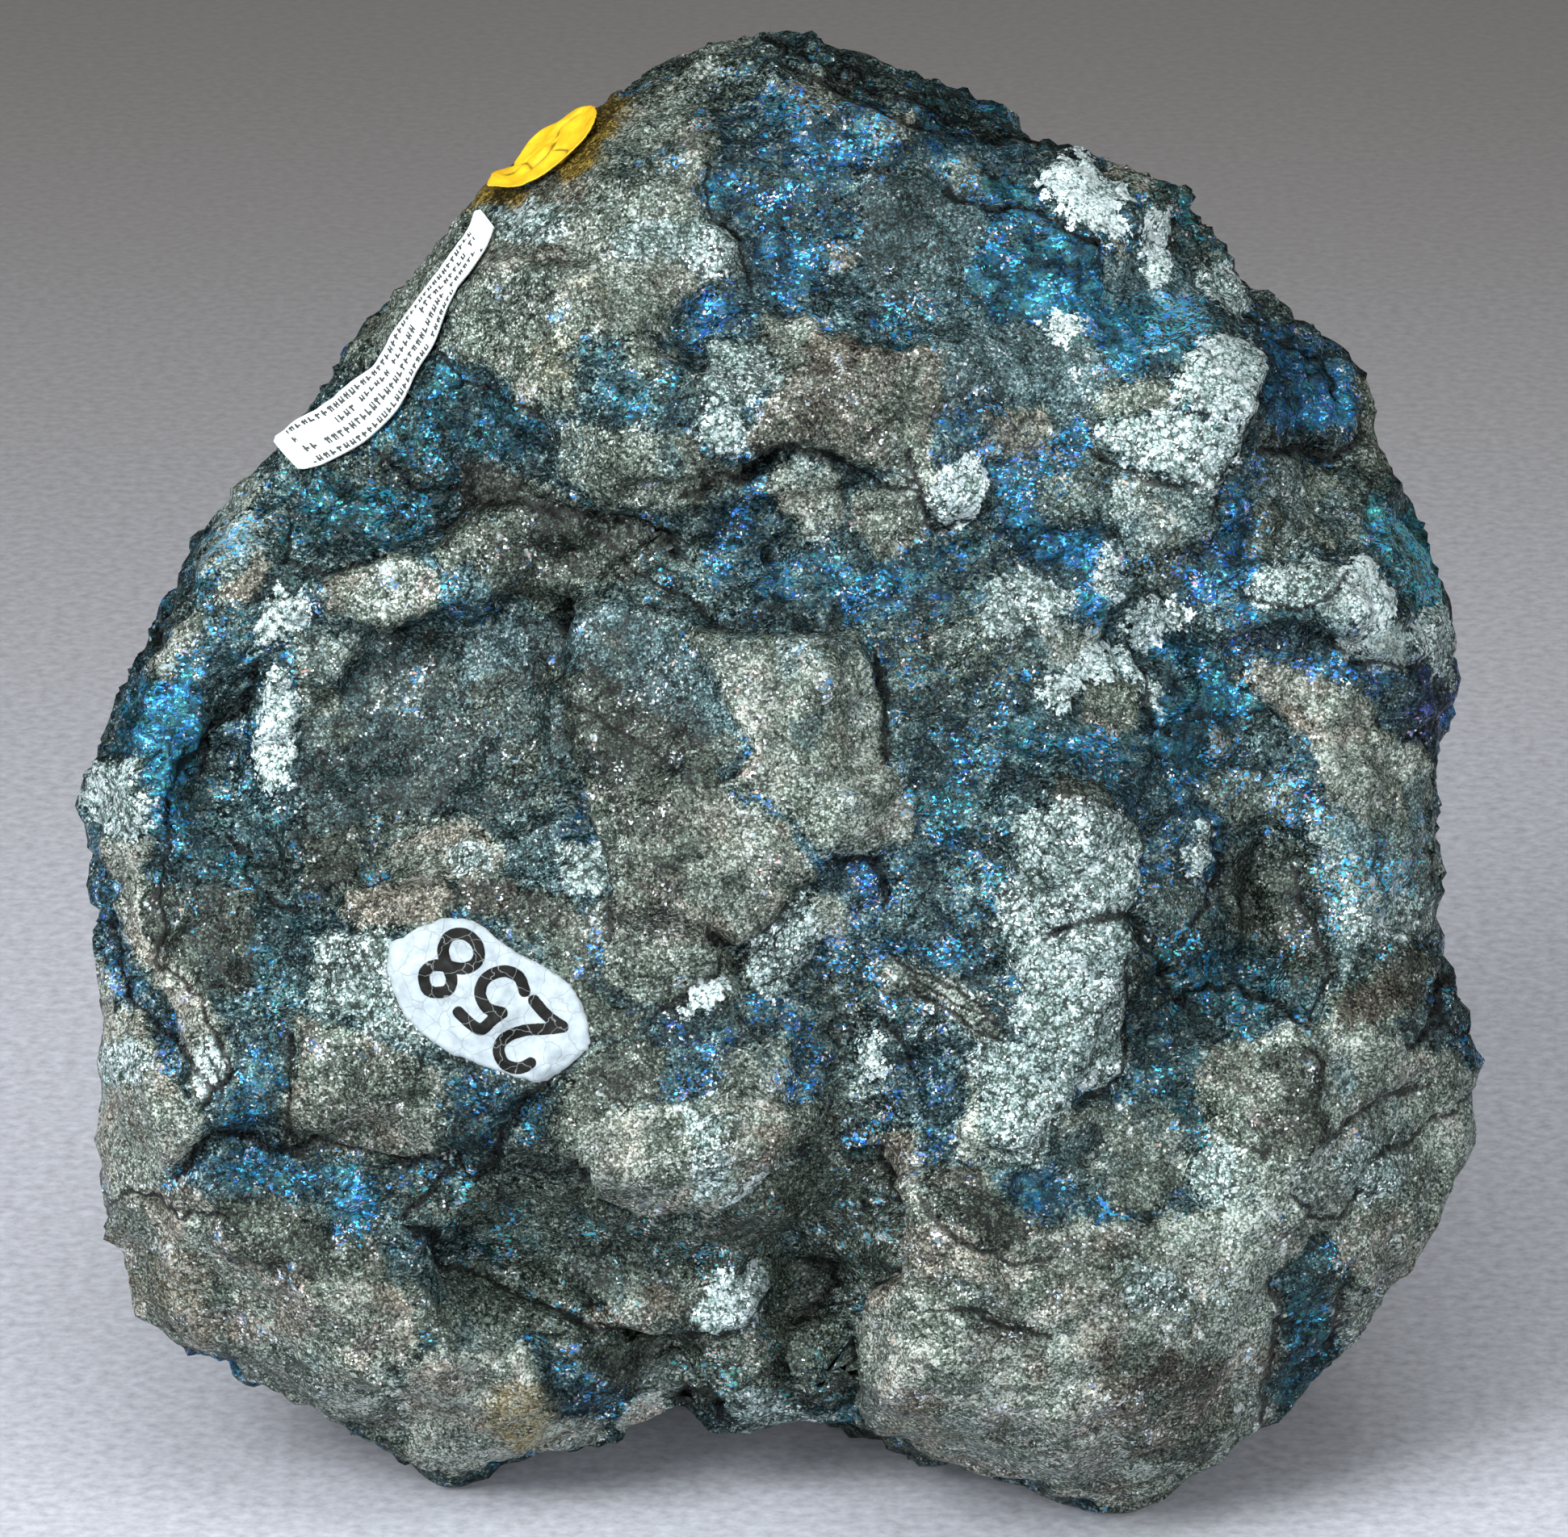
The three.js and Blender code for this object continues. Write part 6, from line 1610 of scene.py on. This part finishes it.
    # Shade in hollows, cracks and beside the patches.
    beside = rock.step(grey_depth.at_least(silver_depth), -0.5, -0.05) * (1 - solid_rock)
    shade = (1 - rock.value_of("dark") * 0.45) * (1 - rock.value_of("fracture") * 0.4) * (1 - beside * 0.25)
    way_off = (rock.value_of("line_side") + small.swing(0.9) + grain.swing(0.12)).unsigned()
    opened = rock.step(way_off / (rock.value_of("line_opening") + 0.02), 0.34, 0.1)
    fine_lines = rock.step((small - 0.5).unsigned(), 0.03, 0.008) * rock.step(middling, 0.46, 0.56)
    long_lines = rock.step((streaks - 0.47).unsigned(), 0.03, 0.008) * (1 - solid_rock * 0.6)
    shade = shade * (1 - opened * 0.85) * (1 - fine_lines * 0.5) * (1 - long_lines * 0.4)
    pitted = rock.step(middling * 0.4 + fine * 0.3 + small * 0.3, 0.57, 0.67)
    shade = shade * (1 - pitted * 0.4)
    shades = rock.add("ShaderNodeCombineColor", {}, {0: shade, 1: shade, 2: shade})
    colour = rock.blend(1.0, colour, shades, "MULTIPLY")

    # Loose glints, gathered in swarms: painted highlights of white, azure and copper blended into the colour,
    # beside the real sparkle of the turned grains below.
    swarm = small.swing(0.5) + middling.swing(0.45) + silverness * (shine * 0.14 + 0.03)
    swarm = swarm - rock.value_of("dark") * 0.06 + rock.value_of("light") * 0.035
    painted_white_glint = rock.step(grain_spark + swarm, 0.94, 1.08)
    painted_plate_glint = rock.step(clump_spark + swarm, 0.98, 1.12) * solid_rock
    azure_spark = flake_spark + (blueness - 0.6) * 0.24 + swarm + middling.swing(0.6)
    painted_azure_glint = rock.step(azure_spark, 0.88, 1.06) * rock.step(blueness, 0.1, 0.6) * (1 - silverness)
    azure = rock.ramp(hue, [
        (0.0, (80, 190, 176)), (1.0, (124, 118, 206)), (0.35, (56, 160, 214)), (0.7, (48, 104, 214)),
    ])
    colour = rock.blend(painted_plate_glint * 0.45, colour, (206, 220, 222))
    colour = rock.blend(painted_white_glint * (1 - opened) * 0.9, colour, (224, 234, 236))
    colour = rock.blend(painted_azure_glint * (1 - opened) * 0.9, colour, azure)
    painted_copper_glint = rock.step(flake_kind + swarm * 0.3, 1.0, 1.03) * (1 - silverness) * (1 - opened)
    colour = rock.blend(painted_copper_glint * 0.6, colour, (204, 160, 146))
    ochre = rock.ramp(level, [(0.2, (50, 40, 10)), (0.9, (150, 126, 40))])
    colour = rock.blend(rock.step(rock.value_of("stain") + small.swing(0.6), 0.1, 0.9) * 0.9, colour, ochre)

    # Each grain, clump and flake leans its own way.
    tilt = rock.vector("SCALE", rock.vector("SUBTRACT", grain_cells, HALF), 0.4)
    flake_tilt = rock.vector("SUBTRACT", flake_cells, HALF)
    clump_tilt = rock.vector("SUBTRACT", clump_cells, HALF)
    tilt = rock.vector("ADD", tilt, rock.vector("SCALE", flake_tilt, 0.6 - solid_rock * 0.5))
    tilt = rock.vector("ADD", tilt, rock.vector("SCALE", clump_tilt, 0.2 + silverness * 0.15))
    tilt = rock.vector("ADD", tilt, rock.vector("SCALE", small_way, 1.0 - solid_rock * 0.4))
    facing = rock.add("ShaderNodeNewGeometry", {}, {}, output="Normal")
    turned = rock.vector("NORMALIZE", rock.vector("ADD", facing, tilt), (0, 0, 0))

    ground = 1 - solid_rock
    gloss = painted_white_glint * 0.12 + painted_azure_glint * 0.2 + ground * rock.step(flake_spark, 0.6, 0.9) * 0.14
    return rock.finish_with({
        "Base Color": colour, "Roughness": 0.48 - gloss, "Metallic": 0.4 + ground * 0.25, "Normal": turned,
        "Specular IOR Level": 0.28,
    })


PAINT_PLATE = 1.5  # size of the plates that the paint cracks into, mm


def paint_finish():
    """White correction paint, crackled, with the number in black ink that cracks with it."""
    paint = Finish("crackled_white_paint")
    place = paint.add("ShaderNodeTexCoord", output="Object")
    wander, way = paint.noise_pair(place, 0.7, 2)
    cracked = paint.vector("ADD", place, paint.vector("SCALE", way, 0.5 * MM))
    gap = paint.add("ShaderNodeTexVoronoi", {"feature": "DISTANCE_TO_EDGE"}, {
        "Vector": cracked, "Scale": 1 / (PAINT_PLATE * MM),
    })
    crack = 1 - paint.step(gap, 0.004, 0.022)
    grime = paint.noise(place, 0.35, 3)
    white = paint.ramp(wander, [(0.3, (136, 147, 153)), (0.7, (158, 169, 175))])
    white = paint.blend(paint.step(grime, 0.62, 0.8) * 0.35, white, (128, 130, 118))
    white = paint.blend(crack * 0.45, white, (112, 120, 120))
    ink = paint.step(paint.value_of("ink") + grime.swing(0.1), -0.03, 0.03)
    black = paint.blend(crack * 0.6, (7, 8, 6), (120, 128, 128))
    colour = paint.blend(ink, white, black)
    colour = paint.blend(paint.step(paint.value_of("rim"), 0.975, 1.0) * 0.4, colour, (150, 154, 148))
    height = wander - crack * 0.6
    bump = paint.add("ShaderNodeBump", {}, {"Strength": 0.5, "Distance": 0.06 * MM, "Height": height})
    return paint.finish_with({
        "Base Color": colour, "Roughness": 0.62 - ink * 0.1, "Normal": bump, "Specular IOR Level": 0.15,
    })


ROW_STEP = 0.9  # of the print, mm
LETTER_STEP = 0.44
WORD_STEP = 2.6


def slip_finish():
    """White paper with four rows of fine print, each a run of short marks with gaps between words."""
    paper = Finish("printed_white_slip")
    along = paper.value_of("along")
    across = paper.value_of("across")
    place = paper.add("ShaderNodeTexCoord", output="Object")
    fibre = paper.noise(place, 0.3, 3)
    row = (across + 2 * ROW_STEP) / ROW_STEP
    row_number = paper.sum_with("FLOOR", row)
    in_row = row - row_number
    slot = along / LETTER_STEP + row_number * 0.37
    slot_number = paper.sum_with("FLOOR", slot)
    in_slot = slot - slot_number
    letter = paper.add("ShaderNodeCombineXYZ", {}, {"X": slot_number, "Y": row_number, "Z": 0.0})
    pick, shape, lean = paper.parts(
        paper.add("ShaderNodeTexWhiteNoise", {"noise_dimensions": "3D"}, {"Vector": letter}, output="Color")
    )
    word = paper.sum_with("FLOOR", along / WORD_STEP + row_number * 0.61)
    gap = paper.add("ShaderNodeTexWhiteNoise", {"noise_dimensions": "2D"}, {
        "Vector": paper.add("ShaderNodeCombineXYZ", {}, {"X": word, "Y": row_number, "Z": 0.0}),
    }, output="Value")
    body = paper.band(in_row, 0.22, 0.78)
    upright = paper.band(in_slot, 0.12 + lean * 0.15, 0.42 + lean * 0.15) * body
    second = paper.band(in_slot, 0.62, 0.86) * body * shape.above(0.5)
    bar = paper.band(in_slot, 0.12, 0.84) * paper.band(in_row, 0.22 + lean * 0.36, 0.42 + lean * 0.36)
    mark = upright.at_least(second).at_least(bar) * pick.above(0.1) * gap.above(0.14)
    mark = mark * paper.band(across, -1.7, 1.7) * paper.band(along, -8.6, 8.2)
    white = paper.ramp(fibre, [(0.3, (188, 199, 202)), (0.7, (208, 217, 219))])
    colour = paper.blend(mark * 0.95, white, (26, 30, 26))
    return paper.finish_with({"Base Color": colour, "Roughness": 0.7, "Specular IOR Level": 0.3})


def yellow_finish():
    """Yellow dot paper, darker along its folds and browned at its edge."""
    paper = Finish("creased_yellow_dot")
    place = paper.add("ShaderNodeTexCoord", output="Object")
    wander = paper.noise(place, 1.3, 3)
    yellow = paper.ramp(wander, [(0.3, (176, 138, 14)), (0.7, (212, 176, 30))])
    fold = 1 - paper.step(paper.value_of("fold") + wander.swing(0.12), 0.03, 0.16)
    colour = paper.blend(fold * 0.8, yellow, (92, 66, 12))
    colour = paper.blend(paper.step(paper.value_of("rim"), 0.93, 1.0) * 0.45, colour, (190, 134, 20))
    return paper.finish_with({"Base Color": colour, "Roughness": 0.6, "Specular IOR Level": 0.3})


# ---------------------------------------------------------------- floor, light and camera
FLOOR_SIZE = 6  # m
FLOOR_PLACE = (0, 1.0, -0.00002)  # just under the stone's flats
STONE_MIDDLE = (0, 0, 0.045)
LIGHT_TINT = (0.96, 0.98, 1)
ROOM_TINT = (0.86, 0.72, 0.56, 1)
ROOM_STRENGTH = 0.1
# Each soft light's place and the place it faces in metres, its size and its power in watts.
LIGHTS = {
    "window_left": ((-0.24, -0.26, 0.30), STONE_MIDDLE, (0.22, 0.22), 2.6),
    "top_panel": ((0.03, -0.10, 0.36), STONE_MIDDLE, (0.28, 0.24), 1.05),
    "front_fill": ((0.18, -0.44, 0.16), STONE_MIDDLE, (0.30, 0.26), 0.9),
    "low_fill": ((-0.04, -0.46, 0.10), (0, -0.03, 0), (0.50, 0.12), 1.35),
    "left_side": ((-0.45, -0.12, 0.08), STONE_MIDDLE, (0.20, 0.16), 0.7),
    "right_side": ((0.45, -0.12, 0.12), STONE_MIDDLE, (0.20, 0.16), 0.6),
}
FRAME_WIDTH = 97.1  # what the frame's width spans in the face's plane, mm
FRAME_MIDDLE = (0.55, -0.35)  # the frame's middle on the face, mm
CAMERA_DISTANCE = 700  # from the face's plane, mm
SENSOR = 36  # mm
VIEW_END = 20  # how far the camera sees, m


def make_floor():
    """A wide sheet of pale paper under the stone, with painted shade that darkens it farther back."""
    paper = Finish("pale_studio_paper")
    place = paper.add("ShaderNodeTexCoord", output="Object")
    fibre = paper.noise(place, 0.9, 4)
    speck = paper.noise(place, 0.45, 2)
    tint = paper.ramp(fibre, [(0.3, (151, 153, 160)), (0.7, (182, 185, 194))])
    tint = paper.blend(paper.step(speck, 0.68, 0.78) * 0.35, tint, (96, 94, 96))
    # Painted shade: the paper turns darker and warmer farther behind the stone, as lamp light falls off.
    far = paper.parts(place)[1]
    tint = paper.blend(paper.step(far, -0.95, -0.68) * 0.75, tint, (136, 131, 126))
    material = paper.finish_with({"Base Color": tint, "Roughness": 0.95})
    bpy.ops.mesh.primitive_plane_add(size=FLOOR_SIZE, location=FLOOR_PLACE)
    floor = bpy.context.object
    floor.name = "studio_floor"
    floor.data.materials.append(material)


def make_light():
    """Soft lights around the stone and a faint warm room."""
    for name, (place, aim, size, power) in LIGHTS.items():
        data = bpy.data.lights.new(name, "AREA")
        data.shape = "RECTANGLE"
        data.size, data.size_y = size
        data.energy = power
        data.color = LIGHT_TINT
        light = bpy.data.objects.new(name, data)
        light.location = place
        light.rotation_euler = (Vector(aim) - Vector(place)).to_track_quat("-Z", "Y").to_euler()
        bpy.context.scene.collection.objects.link(light)
    world = bpy.data.worlds.new("studio_air")
    world.use_nodes = True
    room = world.node_tree.nodes["Background"].inputs
    room["Color"].default_value = ROOM_TINT
    room["Strength"].default_value = ROOM_STRENGTH
    bpy.context.scene.world = world


def make_camera():
    """A long lens that looks straight at the broad face."""
    data = bpy.data.cameras.new("face_camera")
    data.sensor_width = SENSOR
    data.lens = SENSOR * CAMERA_DISTANCE / FRAME_WIDTH
    data.clip_end = VIEW_END
    camera = bpy.data.objects.new("face_camera", data)
    camera.location = from_face([[*FRAME_MIDDLE, CAMERA_DISTANCE]])[0]
    camera.rotation_euler = (math.pi / 2 - FACE_LEAN, 0, 0)
    bpy.context.scene.collection.objects.link(camera)
    bpy.context.scene.camera = camera


make_camera()
make_light()
make_floor()
bpy.context.scene.view_settings.view_transform = "Standard"
ORE = make_ore(ore_finish())
STONE_TREE = BVHTree.FromPolygons(
    [Vector(point) for point in read_rows(ORE.data.vertices, "co")],
    [polygon.vertices[:] for polygon in ORE.data.polygons],
)
make_number_label(STONE_TREE)
make_strip_label(STONE_TREE)
make_yellow_label(STONE_TREE)
